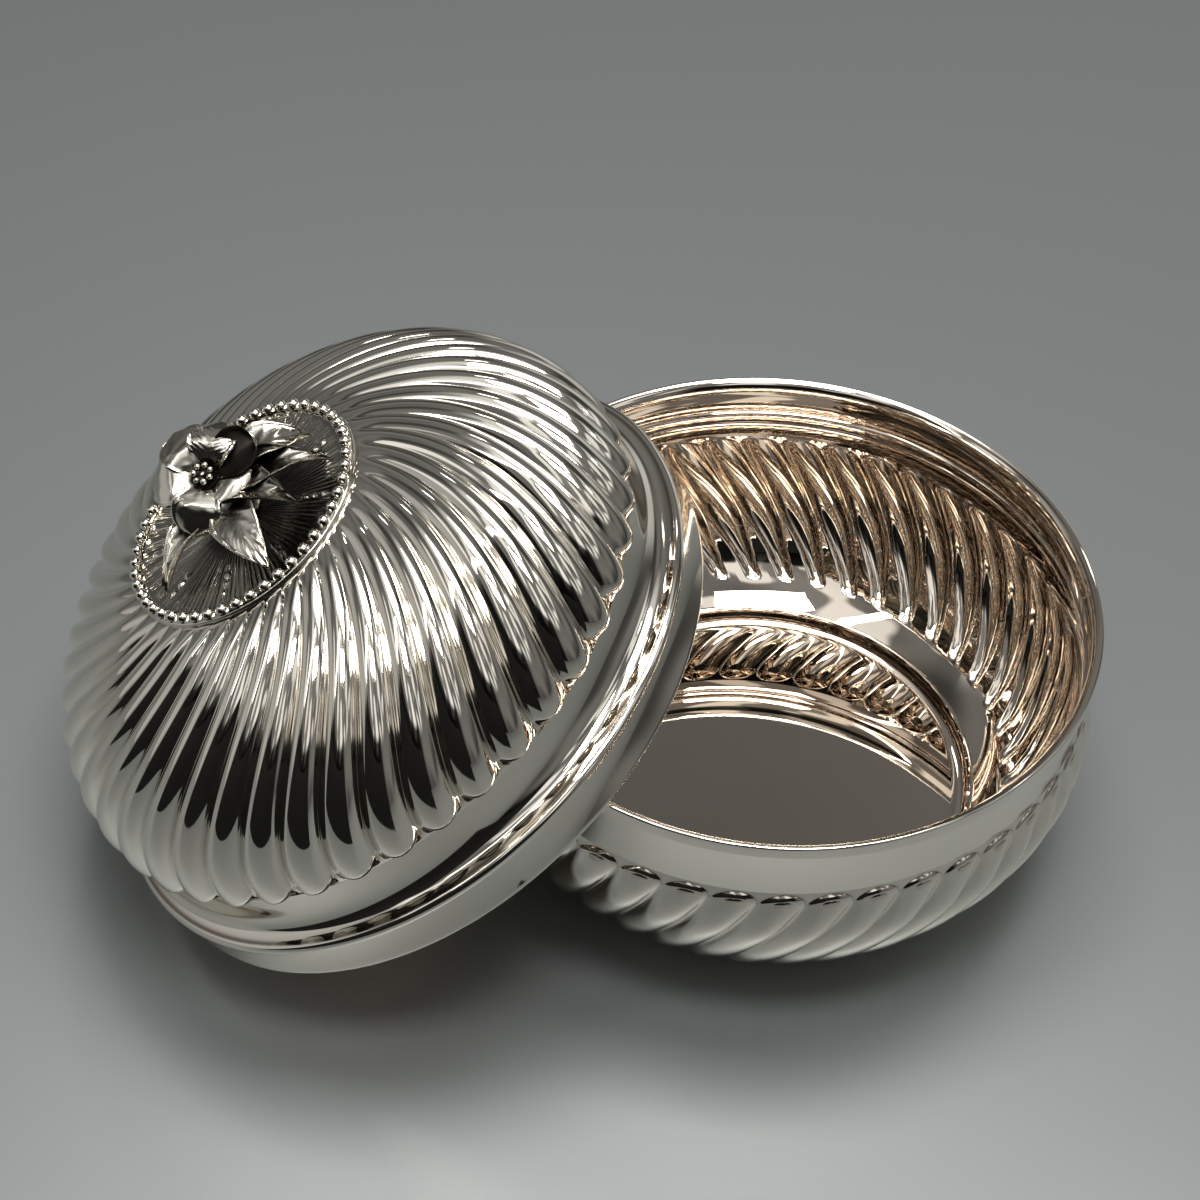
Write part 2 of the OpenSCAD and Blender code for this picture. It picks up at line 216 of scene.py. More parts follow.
@dataclass(frozen=True)
class PolishedSilver:
    """Polished silver sheet, tarnished in its creases, with painted dark lines of shade where the mesh marks them and
    hair-fine polishing marks.

    Attributes:
        name: Material name.
        bright: Colour of the polished metal outside.
        lining: Colour of the metal where the mesh is marked as lining, warmer and darker than outside: a painted tint
            of warm reflected light.
        crease: Colour of the metal at the bottom of a groove.
        tarnish_and_painted_shade: Dark colour of the painted shade lines and the tarnishing where the mesh marks them.
        aged: Tint of the patches that were polished longest ago.
        crease_share: How much of the crease colour shows.
        calm_share: Share of waves, haze and scratches that the lining is free of.
        roughness: Roughness of the polish.
        wave: Height of the slow unevenness of hand-raised sheet, in metres.
        fine: Height of the finest marks, in metres.
        haze: Added roughness in patches.
        hairs: Strength of the fine scratches.
    """

    name: str
    bright: Colour
    lining: Colour
    crease: Colour
    tarnish_and_painted_shade: Colour = (0.40, 0.31, 0.25)
    aged: Colour = (0.97, 0.92, 0.86)
    crease_share: float = 0.35
    calm_share: float = 0.88
    roughness: float = 0.042
    wave: float = 0.000014
    fine: float = 0.000003
    haze: float = 0.04
    hairs: float = 0.35

    def build(self) -> Material:
        """Builds the material."""
        g = SurfaceGraph(self.name)
        place, lining = g.place(), g.attribute("lining")
        patches = g.noise(place, 60.0, 4.0)
        hair = self._hair(g, (0.3, 0.2, 0.5)).at_least(self._hair(g, (1.1, 0.7, 2.2))) * patches.between(0.42, 0.6)
        crease = (g.attribute("groove").between(0.6, 1.0) * self.crease_share * (0.6 + patches * 0.6)).at_most(1.0)
        # The lining's warmer, darker colour is a painted tint of warm reflected light.
        metal = g.colour_mix(lining, self.bright, self.lining)
        old = g.colour_mix(patches.between(0.4, 0.8) * 0.35, metal, g.colour_mix(1.0, metal, self.aged, "MULTIPLY"))
        # Painted shade: the marked dark lines and tarnishing take the dark colour.
        colour = g.colour_mix(g.attribute("tarnish_and_painted_shade") * (0.7 + patches * 0.5),
                              g.colour_mix(crease, old, self.crease), self.tarnish_and_painted_shade)
        calm = 1.0 - lining * self.calm_share
        rough = self.roughness * (0.4 + calm * 0.6) + crease * 0.12 + calm * (
            patches.between(0.4, 0.75) * self.haze + hair * 0.12 * self.hairs)
        wavy = g.bump(g.noise(place, 70.0, 1.0) * calm, 1.0, self.wave)
        marks = g.noise(place, 900.0, 4.0, Roughness=0.6) + hair * self.hairs
        return g.dress(colour, 1.0, rough, g.bump(marks * calm, 0.25, self.fine, Normal=wavy))

    def _hair(self, g: SurfaceGraph, turn: Sequence[float]) -> Value:
        """Thin wandering scratches, 1 on a scratch."""
        marks = g.noise(g.place(turn), 300.0, 1.5, Distortion=3.0)
        return 1.0 - ((marks - 0.5).absolute() * 70.0).at_most(1.0)


@dataclass(frozen=True)
class CastSilver:
    """Cast and chased silver: bright where a cloth reaches it, black in the recesses from oxide and from painted shade.

    Attributes:
        name: Material name.
        bright: Colour of the rubbed high spots.
        dark: Colour of the sulphide in the recesses and of the painted shade there.
        low: Value of the oxide and painted shade mark at which the dark begins to show.
        high: Value of that mark from which all is dark.
    """

    name: str
    bright: Colour
    dark: Colour
    low: float
    high: float

    def build(self) -> Material:
        """Builds the material."""
        g = SurfaceGraph(self.name)
        place = g.place()
        speckle = g.noise(place, 1100.0, 5.0, Roughness=0.65)
        patches = g.noise(place, 240.0)
        # The mark holds oxide in the hollows and painted occlusion shade; it darkens the colour.
        share = (g.attribute("oxide_and_painted_shade") + (speckle - 0.5) * 0.35 + (patches - 0.5) * 0.25).between(self.low, self.high)
        return g.dress(g.colour_mix(share, self.bright, self.dark), 1.0, 0.10 + share * 0.26 + speckle * 0.08,
                       g.bump(speckle, 0.35, 0.00003))


@dataclass(frozen=True)
class SatinTable:
    """Satin grey table top that the part stands on.

    Attributes:
        name: Material name.
        tone: Its grey.
        metallic: Share of metal in its lacquer.
        roughness: Roughness of its satin.
    """

    name: str
    tone: Colour
    metallic: float = 0.5
    roughness: float = 0.42

    def build(self) -> Material:
        """Builds the material."""
        g = SurfaceGraph(self.name)
        place = g.place()
        cloud = g.noise(place, 3.0)
        tone = g.colour_mix(cloud.between(0.3, 0.7) * 0.3, self.tone, tuple(c * 0.95 for c in self.tone))
        return g.dress(tone, self.metallic, self.roughness + (cloud - 0.5) * 0.06,
                       g.bump(g.noise(place, 1400.0, 2.0), 0.2, 0.00001))


# ---------------------------------------------------------------- mesh making


def part_way(t: Array, low: float, high: float) -> Array:
    """How far t has come from low to high, 0 to 1."""
    return np.clip((np.asarray(t) - low) / (high - low), 0.0, 1.0)


def smooth_step(t: Array, low: float, high: float) -> Array:
    """Smooth step from 0 to 1."""
    u = part_way(t, low, high)
    return u * u * (3 - 2 * u)


def quarter_round(t: Array, low: float, high: float) -> Array:
    """Rises from 0 at low to 1 at high like a quarter circle."""
    return np.sqrt(1 - (1 - part_way(t, low, high)) ** 2)


def ramp(t: Array, low: float, high: float) -> Array:
    """Rises from 0 at low with a sharp start and levels out smoothly to 1 at high."""
    return 1 - (1 - part_way(t, low, high)) ** 2


def hill(t: Array, middle: float, width: float) -> Array:
    """A smooth hill, 1 at its middle."""
    return np.exp(-((t - middle) / width) ** 2)


def rows(*stretches: tuple[float, float, int]) -> Array:
    """Places of rows: each stretch gives its start, its end and its number of steps."""
    parts = [np.linspace(start, end, steps, endpoint=False) for start, end, steps in stretches]
    return np.concatenate([*parts, [stretches[-1][1]]])


def bezier(points: Profile, steps: int) -> Array:
    """Evenly placed points on a cubic Bezier curve."""
    p = np.asarray(points, float)
    t = np.linspace(0, 1, steps)[..., None]
    return p[0] * (1 - t) ** 3 + p[1] * 3 * t * (1 - t) ** 2 + p[2] * 3 * t * t * (1 - t) + p[3] * t ** 3


def arc(centre: Sequence[float], radius: float, start: float, end: float, steps: int) -> list[tuple[float, float]]:
    """Points on a circular arc, with angles in degrees."""
    angles = [math.radians(start + (end - start) * i / steps) for i in range(steps + 1)]
    return [(centre[0] + radius * math.cos(a), centre[1] + radius * math.sin(a)) for a in angles]


def full_turn(columns: int) -> Array:
    """Angles of evenly placed columns round the upright axis."""
    return np.linspace(0, FULL_TURN, columns, endpoint=False)


def turned(radius: Array, turn: Array, height: Array) -> Array:
    """Points at a radius, an angle and a height."""
    return np.stack(np.broadcast_arrays(radius * np.cos(turn), radius * np.sin(turn), height), -1)


def points_of(made: Piece) -> Array:
    """The points of a mesh, in metres."""
    points = np.empty(len(made.data.vertices) * 3)
    made.data.vertices.foreach_get("co", points)
    return points.reshape(-1, 3)


class MeshMaker:
    """Turns point grids into closed meshes in metres."""

    @staticmethod
    def grid(name: str, points: Array, wrap_rows: bool = False, wrap_columns: bool = False) -> Piece:
        """Makes a quad mesh from a grid of points.

        Args:
            name: Name of the object.
            points: Rows by columns by 3, in millimetres.
            wrap_rows: Joins the last row to the first.
            wrap_columns: Joins the last column to the first.

        Returns:
            The new object, linked to the scene.
        """
        index = np.arange(points.shape[0] * points.shape[1]).reshape(points.shape[:2])
        if wrap_rows:
            index = np.vstack([index, index[:1]])
        if wrap_columns:
            index = np.hstack([index, index[:, :1]])
        faces = np.stack([index[:-1, :-1], index[:-1, 1:], index[1:, 1:], index[1:, :-1]], -1).reshape(-1, 4)
        mesh = bpy.data.meshes.new(name)
        mesh.from_pydata((points.reshape(-1, 3) * MM).tolist(), [], faces.tolist())
        mesh.polygons.foreach_set("use_smooth", [True] * len(mesh.polygons))
        mesh.update()
        made = bpy.data.objects.new(name, mesh)
        bpy.context.scene.collection.objects.link(made)
        return made

    @staticmethod
    def seed(name: str) -> Piece:
        """Makes a carrier for a node tree that brings its own geometry."""
        return MeshMaker.grid(name, np.zeros((2, 2, 3)))

    @staticmethod
    def attribute(made: Piece, name: str, values: Array) -> None:
        """Stores one float for each point."""
        store = made.data.attributes.new(name, "FLOAT", "POINT")
        store.data.foreach_set("value", np.ascontiguousarray(values, np.float32).ravel())

    @staticmethod
    def mark(made: Piece, name: str, share: Callable[[Array, Array], Array]) -> Piece:
        """Stores an attribute of a turned piece.

        Args:
            made: The piece, before it is set down.
            name: Name of the attribute.
            share: Its value at a radius and a height, in millimetres.

        Returns:
            The same piece.
        """
        x, y, z = (points_of(made) / MM).T
        MeshMaker.attribute(made, name, share(np.hypot(x, y), z))
        return made

    @staticmethod
    def lathe(name: str, outline: Profile, columns: int) -> Piece:
        """Turns a closed outline of (radius, height) about the upright axis.

        Args:
            name: Name of the object.
            outline: Closed section, anticlockwise seen with the radius to the right.
            columns: Points round the axis.

        Returns:
            The new object.
        """
        r, z = np.asarray([tuple(point) for point in outline], float).T[..., None]
        made = MeshMaker.grid(name, turned(r, full_turn(columns), z), True, True)
        MeshMaker.tidy(made)
        return made

    @staticmethod
    def tidy(made: Piece, merge: float = 1e-7, sharp: float = 40.0) -> None:
        """Merges doubles, points the faces outwards and marks edges sharper than an angle in degrees."""
        work = bmesh.new()
        work.from_mesh(made.data)
        bmesh.ops.remove_doubles(work, verts=work.verts, dist=merge)
        bmesh.ops.dissolve_degenerate(work, edges=work.edges, dist=merge)
        bmesh.ops.recalc_face_normals(work, faces=work.faces)
        for edge in work.edges:
            if len(edge.link_faces) == 2 and edge.calc_face_angle(0.0) > math.radians(sharp):
                edge.smooth = False
        work.to_mesh(made.data)
        work.free()
        made.data.update()

    @staticmethod
    def close_ends(made: Piece) -> None:
        """Fills the open ends of a tube-like mesh."""
        work = bmesh.new()
        work.from_mesh(made.data)
        bmesh.ops.holes_fill(work, edges=[edge for edge in work.edges if len(edge.link_faces) == 1], sides=0)
        work.to_mesh(made.data)
        work.free()

    @staticmethod
    def join(first: Piece, *others: Piece) -> Piece:
        """Joins meshes into the first one."""
        pieces = [first, *others]
        with bpy.context.temp_override(active_object=first, object=first, selected_editable_objects=pieces,
                                       selected_objects=pieces):
            bpy.ops.object.join()
        return first

    @staticmethod
    def finish(made: Piece, body: str, material: Material, slot: Slot, node: str) -> None:
        """Gives a piece its finish and its body, and hides the CAD node that it stands for."""
        made.data.materials.clear()
        made.data.materials.append(material)
        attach(made, body)
        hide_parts(node)
        LOG.info("%s: %d faces on %s", made.name, len(made.data.polygons), body)


class NodeTree(Graph):
    """A Geometry Nodes tree with named inputs."""

    SOCKETS = {float: "NodeSocketFloat", int: "NodeSocketInt", tuple: "NodeSocketVector",
               type(None): "NodeSocketObject"}

    def __init__(self, name: str, defaults: dict[str, object]) -> None:
        """Makes the tree.

        Args:
            name: Name of the tree.
            defaults: Name and default of each input after geometry and material, None for an object.
        """
        tree = bpy.data.node_groups.new(name, "GeometryNodeTree")
        face = tree.interface
        for way in ("INPUT", "OUTPUT"):
            face.new_socket("Geometry", in_out=way, socket_type="NodeSocketGeometry")
        sockets = {"Material": face.new_socket("Material", in_out="INPUT", socket_type="NodeSocketMaterial")}
        for label, default in defaults.items():
            sockets[label] = face.new_socket(label, in_out="INPUT", socket_type=self.SOCKETS[type(default)])
            if default is not None:
                sockets[label].default_value = default
        self.identifiers = {label: socket.identifier for label, socket in sockets.items()}
        super().__init__(tree)
        self.entry = self.node("NodeGroupInput")

    def given(self, label: str) -> Value:
        """An input of the tree."""
        return Value(self, self.entry.outputs[label])

    def stored(self, name: str) -> Value:
        """A float attribute of the geometry."""
        return self.result("GeometryNodeInputNamedAttribute", {"Name": name}, "Attribute", data_type="FLOAT")

    def moved(self, geometry: Value, place: Value) -> Value:
        """Sets the places of the points."""
        return self.result("GeometryNodeSetPosition", {"Geometry": geometry, "Position": place})

    def close(self, geometry: Value) -> None:
        """Ends the tree in Realize Instances and Set Material."""
        real = self.result("GeometryNodeRealizeInstances", {"Geometry": geometry})
        painted = self.result("GeometryNodeSetMaterial", {"Geometry": real, "Material": self.given("Material")})
        self.node("NodeGroupOutput", {0: painted})

    def apply(self, made: Piece, values: dict[str, object]) -> Piece:
        """Runs the tree on an object and keeps the plain mesh.

        Args:
            made: The object that carries the tree's first geometry.
            values: Values of the named inputs.

        Returns:
            The same object with its new mesh.
        """
        modifier = made.modifiers.new(self.tree.name, "NODES")
        modifier.node_group = self.tree
        for label, value in values.items():
            modifier[self.identifiers[label]] = value
        bpy.context.view_layer.update()
        graph = bpy.context.evaluated_depsgraph_get()
        mesh = bpy.data.meshes.new_from_object(made.evaluated_get(graph), depsgraph=graph)
        made.modifiers.clear()
        old = made.data
        made.data = mesh
        bpy.data.meshes.remove(old)
        return made


class FluteTree(NodeTree):
    """Raises swirling flutes on a surface of revolution."""

    CORNERS = tuple(f"Profile {letter}" for letter in "ABCD")

    def __init__(self) -> None:
        """Builds the tree."""
        super().__init__("swirl flutes", {
            "Flutes": 44.0, "Depth": 0.002, "Arc Radius": 1.12, "Fillet": 0.2, "Swirl": 0.3, "Swirl Start": 0.0,
            "Swirl Power": 1.2, "Scallop": 0.08, **dict.fromkeys(self.CORNERS, (0.0, 0.0, 0.0))})
        around, swell = self.stored("around"), self.stored("swell")
        off_crest = ((around * self.given("Flutes")).fraction() * 2.0 - 1.0).absolute()
        arch = (1.0 - (off_crest * 0.98) ** 2.0) ** 0.5
        s = self.stored("along") + self.given("Scallop") * (1.0 - arch) * self.stored("hang")
        lobe = self._lobe((off_crest / self.stored("width")).at_most(1.0))
        lift = self.given("Depth") * swell * lobe - self.stored("inset")
        angle = around * FULL_TURN + self.given("Swirl") * (
            (self.given("Swirl Start") - s).absolute() ** self.given("Swirl Power"))
        shaped = self.moved(self.given("Geometry"), self._on_profile(s, lift, angle))
        self.close(self.result("GeometryNodeStoreNamedAttribute", {
            "Geometry": shaped, "Name": "groove", "Value": (1.0 - lobe) * swell.at_most(1.0)},
            data_type="FLOAT", domain="POINT"))

    def _lobe(self, off: Value) -> Value:
        """Cross section of a flute: a round lobe whose foot is filleted into the groove.

        Args:
            off: Distance from the crest, 0 to 1 at the edge of the lobe.

        Returns:
            Height, 0 in the groove and 1 on the crest.
        """
        radius, fillet = self.given("Arc Radius"), self.given("Fillet")
        flat = (radius * radius - 1.0) ** 0.5
        bow = ((radius * radius - off * off) ** 0.5 - flat) / (radius - flat)
        return ((bow * bow + fillet * fillet) ** 0.5 - fillet) / ((1.0 + fillet * fillet) ** 0.5 - fillet)

    def _on_profile(self, s: Value, lift: Value, angle: Value) -> Value:
        """Place at s along the revolved profile, lifted along its normal and turned by angle."""
        back = 1.0 - s
        corners = [self.given(label) for label in self.CORNERS]
        point = self._sum([back ** 3.0, 3.0 * s * back * back, 3.0 * s * s * back, s * s * s], corners)
        steps = [self.vector_maths("SUBTRACT", end, start) for start, end in zip(corners, corners[1:])]
        tangent = self.vector_maths("NORMALIZE", self._sum([back * back, 2.0 * s * back, s * s], steps))
        out = self.vector_maths("CROSS_PRODUCT", tangent, (0.0, 1.0, 0.0))
        radius, _, height = self.parts(self.vector_maths("ADD", point, self.vector_maths("SCALE", out, scale=lift)))
        return self.vector(radius * angle.cosine(), radius * angle.sine(), height)

    def _sum(self, weights: Sequence[Value], vectors: Sequence[Value]) -> Value:
        """Weighted sum of vectors."""
        total, *others = [self.vector_maths("SCALE", v, scale=w) for w, v in zip(weights, vectors)]
        for other in others:
            total = self.vector_maths("ADD", total, other)
        return total


class RingTree(NodeTree):
    """Sets copies of a small shape round a ring, one at each point of the ring."""

    SEED = 7

    def __init__(self) -> None:
        """Builds the tree."""
        super().__init__("ring of beads", {"Shape": None, "Count": 48, "Radius": 0.02, "Height": 0.0,
                                           "First Angle": 0.0, "Size Change": 0.0})
        line = self.result("GeometryNodeMeshLine", {"Count": self.given("Count"), "Offset": (0.0, 0.0, 0.0)})
        angle = self.result("GeometryNodeInputIndex") * FULL_TURN / self.given("Count") + self.given("First Angle")
        radius = self.given("Radius")
        points = self.moved(line, self.vector(angle.cosine() * radius, angle.sine() * radius, self.given("Height")))
        shape = self.result("GeometryNodeObjectInfo", {"Object": self.given("Shape")}, "Geometry")
        chance = self.result("FunctionNodeRandomValue", {"Min": 0.0, "Max": 1.0, "Seed": self.SEED}, 1,
                             data_type="FLOAT")
        size = 1.0 - chance * self.given("Size Change")
        self.close(self.result("GeometryNodeInstanceOnPoints", {
            "Points": points, "Instance": shape, "Rotation": self.vector(0.0, 0.0, angle),
            "Scale": self.vector(size, size, size)}))

    def copies(self, shape: Piece, material: Material, **values: object) -> Piece:
        """Sets copies of a shape round a ring, and removes the shape.

        Args:
            shape: The shape to copy.
            material: Its finish.
            values: The tree's inputs, with an underscore for each space.

        Returns:
            The ring of copies.
        """
        named = {label.replace("_", " "): value for label, value in values.items()}
        made = self.apply(MeshMaker.seed("ring"), {"Material": material, "Shape": shape, **named})
        bpy.data.objects.remove(shape)
        return made


# ---------------------------------------------------------------- the bowl


@dataclass
class FluteShell:
    """A closed shell of fluted sheet, raised on a plain grid by the flute tree.

    Attributes:
        name: Name of the object.
        outside: Places of the outer rows along the profile, 0 to 1.
        inside: Places of the inner rows.
        tarnish_and_painted_shade: Painted dark lines of shade and tarnishing at a place: outside, then inside.
        swell: Rise of the lobes at a place, outside.
        hollow: Rise of the lobes at a place, inside.
        hang: Weight of the scallop at a place.
        width: Share of the pitch that a lobe takes at a place.
        rise: Extra thickness of the sheet at a place, as a share of its wall.
        wall: Thickness of the sheet in millimetres.
        flange: Width of the flat edge at the first row in millimetres.
        flutes: Flutes round the shell.
        curve: Profile as four (radius, height) points in millimetres.
        sizes: Named inputs of the tree.
        columns_per_flute: Points across one flute.
        crowding: How much closer the points stand in the grooves.
        sharp: Angle of an edge that is not smoothed, in degrees.
    """

    name: str
    outside: Array
    inside: Array
    tarnish_and_painted_shade: tuple[Rule, Rule]
    swell: Rule
    hollow: Rule
    hang: Rule
    width: Rule
    rise: Rule
    wall: float
    flange: float
    flutes: int
    curve: Profile
    sizes: dict[str, float]
    columns_per_flute: int = 17
    crowding: float = 0.55
    sharp: float = 75.0

    def build(self, tree: FluteTree, material: Material) -> Piece:
        """Builds the shell.

        Args:
            tree: The flute tree.
            material: Finish.

        Returns:
            The new object.
        """
        columns = self.flutes * self.columns_per_flute
        back = self.inside[::-1]
        t = np.concatenate([self.outside, back])
        step = np.arange(columns) / self.columns_per_flute
        around = (step - self.crowding * np.sin(FULL_TURN * step) / FULL_TURN) / self.flutes
        lining = np.concatenate([np.zeros(len(self.outside)), np.ones(len(back))])
        made = MeshMaker.grid(self.name, np.zeros((len(t), columns, 3)), True, True)
        for name, row in (("along", t), ("swell", np.concatenate([self.swell(self.outside), self.hollow(back)])),
                          ("tarnish_and_painted_shade", np.concatenate([self.tarnish_and_painted_shade[0](self.outside), self.tarnish_and_painted_shade[1](back)])),
                          ("hang", self.hang(t)), ("width", self.width(t)),
                          ("inset", lining * self.wall * MM * (1 + self.rise(t))), ("lining", lining)):
            MeshMaker.attribute(made, name, np.repeat(row[:, None], columns, 1))
        MeshMaker.attribute(made, "around", np.tile(around, (len(t), 1)))
        corners = {label: (r * MM, 0.0, z * MM) for label, (r, z) in zip(tree.CORNERS, self.curve)}
        tree.apply(made, {"Material": material, "Flutes": float(self.flutes), **self.sizes, **corners})
        self._flatten_edge(made, (len(t), columns, 3))
        MeshMaker.tidy(made, sharp=self.sharp)
        return made

    def _flatten_edge(self, made: Piece, shape: tuple[int, int, int]) -> None:
        """Makes the shell's first edge a flat ring at the corner's height."""
        points = points_of(made).reshape(shape)
        angle = np.arctan2(points[0, :, 1], points[0, :, 0])
        radius, height = self.curve[0]
        points[-1] = turned((radius - self.flange) * MM, angle, height * MM)
        made.data.vertices.foreach_set("co", points.ravel())
        made.data.update()


@dataclass
class Bowl:
    """The bowl: lip ring, plain band, fluted wall, stepped floor and foot wire. Sizes in millimetres."""

    lip_r: float = 60.0
    rim_height: float = 54.0
    lip_height: float = 2.6
    lip_width: float = 2.0
    band_height: float = 11.4
    band_inset: float = 0.9
    band_taper: float = 0.5
    wall: float = 1.0
    belly_swell: float = 2.2
    shoulder_run: float = 5.5
    shoulder_height: float = 4.2
    shoulder_lift: float = 1.25
    floor_r: float = 38.5
    foot_width: float = 2.2
    foot_height: float = 2.0
    edge_round: float = 0.4
    seam: float = 0.02
    flutes: int = 44
    flute_depth: float = 2.0
    swirl: float = 21.0
    columns: int = 352
    body: str = "bowl"

    @property
    def band_r(self) -> float:
        """Outer radius of the band under the lip."""
        return self.lip_r - self.band_inset

    @property
    def band_top(self) -> float:
        """Height where the band meets the lip ring."""
        return self.rim_height - self.lip_height

    @property
    def band_foot(self) -> float:
        """Height where the flutes begin."""
        return self.band_top - self.band_height

    @property
    def waist_r(self) -> float:
        """Outer radius where the band meets the flutes."""
        return self.band_r - self.band_taper

    @property
    def shoulder_r(self) -> float:
        """Radius of the shoulder round the floor."""
        return self.floor_r + self.shoulder_run

    @property
    def foot_r(self) -> float:
        """Outer radius of the foot wire."""
        return self.floor_r + 0.45 * self.shoulder_run

    @property
    def curve(self) -> Profile:
        """Profile of the grooves from the band to the shoulder."""
        return [(self.waist_r, self.band_foot), (self.waist_r + self.belly_swell * 1.2, self.band_foot * 0.75),
                (self.shoulder_r + 0.9 * (self.waist_r - self.shoulder_r),
                 self.shoulder_height + 0.3 * (self.band_foot - self.shoulder_height)),
                (self.shoulder_r, self.shoulder_height)]

    def build(self, tree: FluteTree, outside: Material, inside: Material) -> None:
        """Builds and dresses every piece of the bowl."""
        for made, node in ((self._wall(tree, outside), "bowl_wall"), (self._band(), "bowl_band"),
                           (self._lip(), "lip_ring"), (self._base(), "bowl_base"), (self._foot(), "foot_wire")):
            dress = (inside, Slot.INSIDE) if node == "bowl_base" else (outside, Slot.OUTSIDE)
            MeshMaker.finish(made, self.body, *dress, node)

    def _fade(self, t: Array) -> Array:
        """How the lobes grow shallower towards their tips."""
        return (1 - 0.35 * smooth_step(t, 0.25, 0.75)) * quarter_round(-t, -0.87, -0.74)

    def _swell(self, t: Array) -> Array:
        """Rise of the lobes outside: a crisp round shoulder under the band, then full."""
        return (0.29 * ramp(t, 0.009, 0.045) + 0.71 * smooth_step(t, 0.02, 0.32)) * self._fade(t)

    def _hollow(self, t: Array) -> Array:
        """Depth of the lobes inside: a raised rim, then a round spoon-like end under the band."""
        return 0.9 * ramp(t, 0.014, 0.06) * self._fade(t) - 0.16 * hill(t, 0.0125, 0.004)

    def _wall(self, tree: FluteTree, material: Material) -> Piece:
        """The fluted wall: lobes with a round top that taper to a point above the shoulder."""
        t = rows((0.0, 0.006, 2), (0.006, 0.026, 12), (0.026, 0.1, 10), (0.1, 0.72, 21), (0.72, 0.9, 13),
                 (0.9, 1.0, 5))
        return FluteShell(
            "bowl_wall_silver", outside=t, inside=t,
            # Painted shade: dark lines just above the lobes' round tops outside and above the hollows' raised rims
            # inside. The upper inside wall is also darkened a little, fading out halfway down.
            tarnish_and_painted_shade=(lambda v: 0.8 * hill(v, 0.011, 0.004),
                     lambda v: 0.9 * hill(v, 0.007, 0.0025) + 0.25 * smooth_step(-v, -0.5, -0.2)),
            swell=self._swell, hollow=self._hollow,
            hang=lambda v: (1 - v) ** 2 * smooth_step(v, 0.0, 0.008),
            width=lambda v: 0.96 - 0.58 * smooth_step(v, 0.5, 0.88),
            rise=lambda v: self.shoulder_lift * part_way(v, 0.8, 1.0) ** 1.4,
            wall=self.wall, flange=self.wall, flutes=self.flutes, curve=self.curve,
            sizes={"Depth": self.flute_depth * MM, "Arc Radius": 1.04, "Fillet": 0.18,
                   "Swirl": -math.radians(self.swirl), "Swirl Start": 0.0, "Swirl Power": 1.25, "Scallop": 0.1},
        ).build(tree, material)

    def _band(self) -> Piece:
        """The plain band between lip and flutes, with a polished throat and two fine ridges inside."""
        low, high, inner = self.band_foot + self.seam, self.band_top, self.band_r - self.wall
        outer = bezier([(self.waist_r, low), (self.waist_r, low + 0.35 * self.band_height),
                        (self.band_r - 0.2, low + 0.75 * self.band_height), (self.band_r, high)], 16)
        throat, ridge, bead = ([(inner - step - out * math.sin(a), high - down - run * a / math.pi)
                                for a in np.linspace(0, math.pi, steps)]
                               for step, out, down, run, steps in (
                                   (0.0, -0.25, 0.5, 4.4, 13), (0.0, 0.45, 5.1, 0.9, 9), (0.22, 0.2, 7.6, 0.6, 7)))
        waist_in, lined = self.waist_r - self.wall, inner + 0.35
        made = MeshMaker.lathe("bowl_band_silver", [
            *outer, (inner, high), *throat, *ridge, (inner - 0.16, high - 6.6), *bead, (waist_in, low + 1.8),
            (waist_in, low)], self.columns)
        # Darkens the inner band below the throat, from about 5 mm under its top down to the flutes.
        MeshMaker.mark(made, "tarnish_and_painted_shade", lambda r, z: 0.6 * (r < lined) * (1 - smooth_step(z, high - 5.5, high - 4.0)))
        return MeshMaker.mark(made, "lining", lambda r, z: r < lined)

    def _lip(self) -> Piece:
        """The rounded lip ring."""
        w, k, z, top = self.lip_width, self.edge_round, self.band_top, self.rim_height
        r = self.lip_r - w
        slope = bezier([(r + w - k, top), (r + 0.65 * w - k, top - 0.15), (r + 0.3, top - 0.7), (r, top - 1.5)], 14)
        made = MeshMaker.lathe("lip_ring_silver", [
            (r + 0.12, z), (r + w - 0.12, z), (r + w, z + 0.12), *arc((r + w - k, top - k), k, 0, 90, 10),
            *slope[1:], (r, z + 0.12)], self.columns)
        return MeshMaker.mark(made, "lining", lambda radius, height: radius < r + 0.75 * w)

    def _base(self) -> Piece:
        """The shoulder, the step and the mirror-polished floor."""
        low, run = self.foot_height, self.shoulder_run
        high = low + self.wall
        end, before = (np.array(self.curve[i]) for i in (3, 2))
        along = (end - before) / np.linalg.norm(end - before)
        inner = end - np.array([-along[1], along[0]]) * self.wall * (1 + self.shoulder_lift)
        under = bezier([end, (self.floor_r + 0.8 * run, self.shoulder_height - 0.7),
                        (self.floor_r + 0.6 * run, low + 0.5), (self.foot_r, low)], 26)
        crest, step = (float(inner[0]) - 0.22 * run, float(inner[1]) - 0.1), high + 0.35
        shelf = bezier([crest, (crest[0] + 0.3, crest[1] - 0.06), (inner[0] - 0.45, inner[1] - 0.45), inner], 12)
        drop = bezier([(crest[0] - 0.12 * run, step), (crest[0] - 0.02 * run, step), (crest[0] - 0.3, crest[1] - 0.1),
                       crest], 12)
        ease = bezier([(self.floor_r, high), (self.floor_r + 0.3 * run, high), (drop[0][0] - 0.35, step - 0.1),
                       drop[0]], 14)
        over = np.concatenate([ease, drop[1:], shelf[1:]])
        made = MeshMaker.lathe("bowl_base_silver", [
            *((r, low) for r in np.linspace(0.0, self.floor_r, 8)), *under[::-1], *over[::-1],
            *((r, high) for r in np.linspace(self.floor_r, 0.0, 8)[1:])], self.columns)
        middle, dark = low + 0.5 * self.wall, drop[0][0]
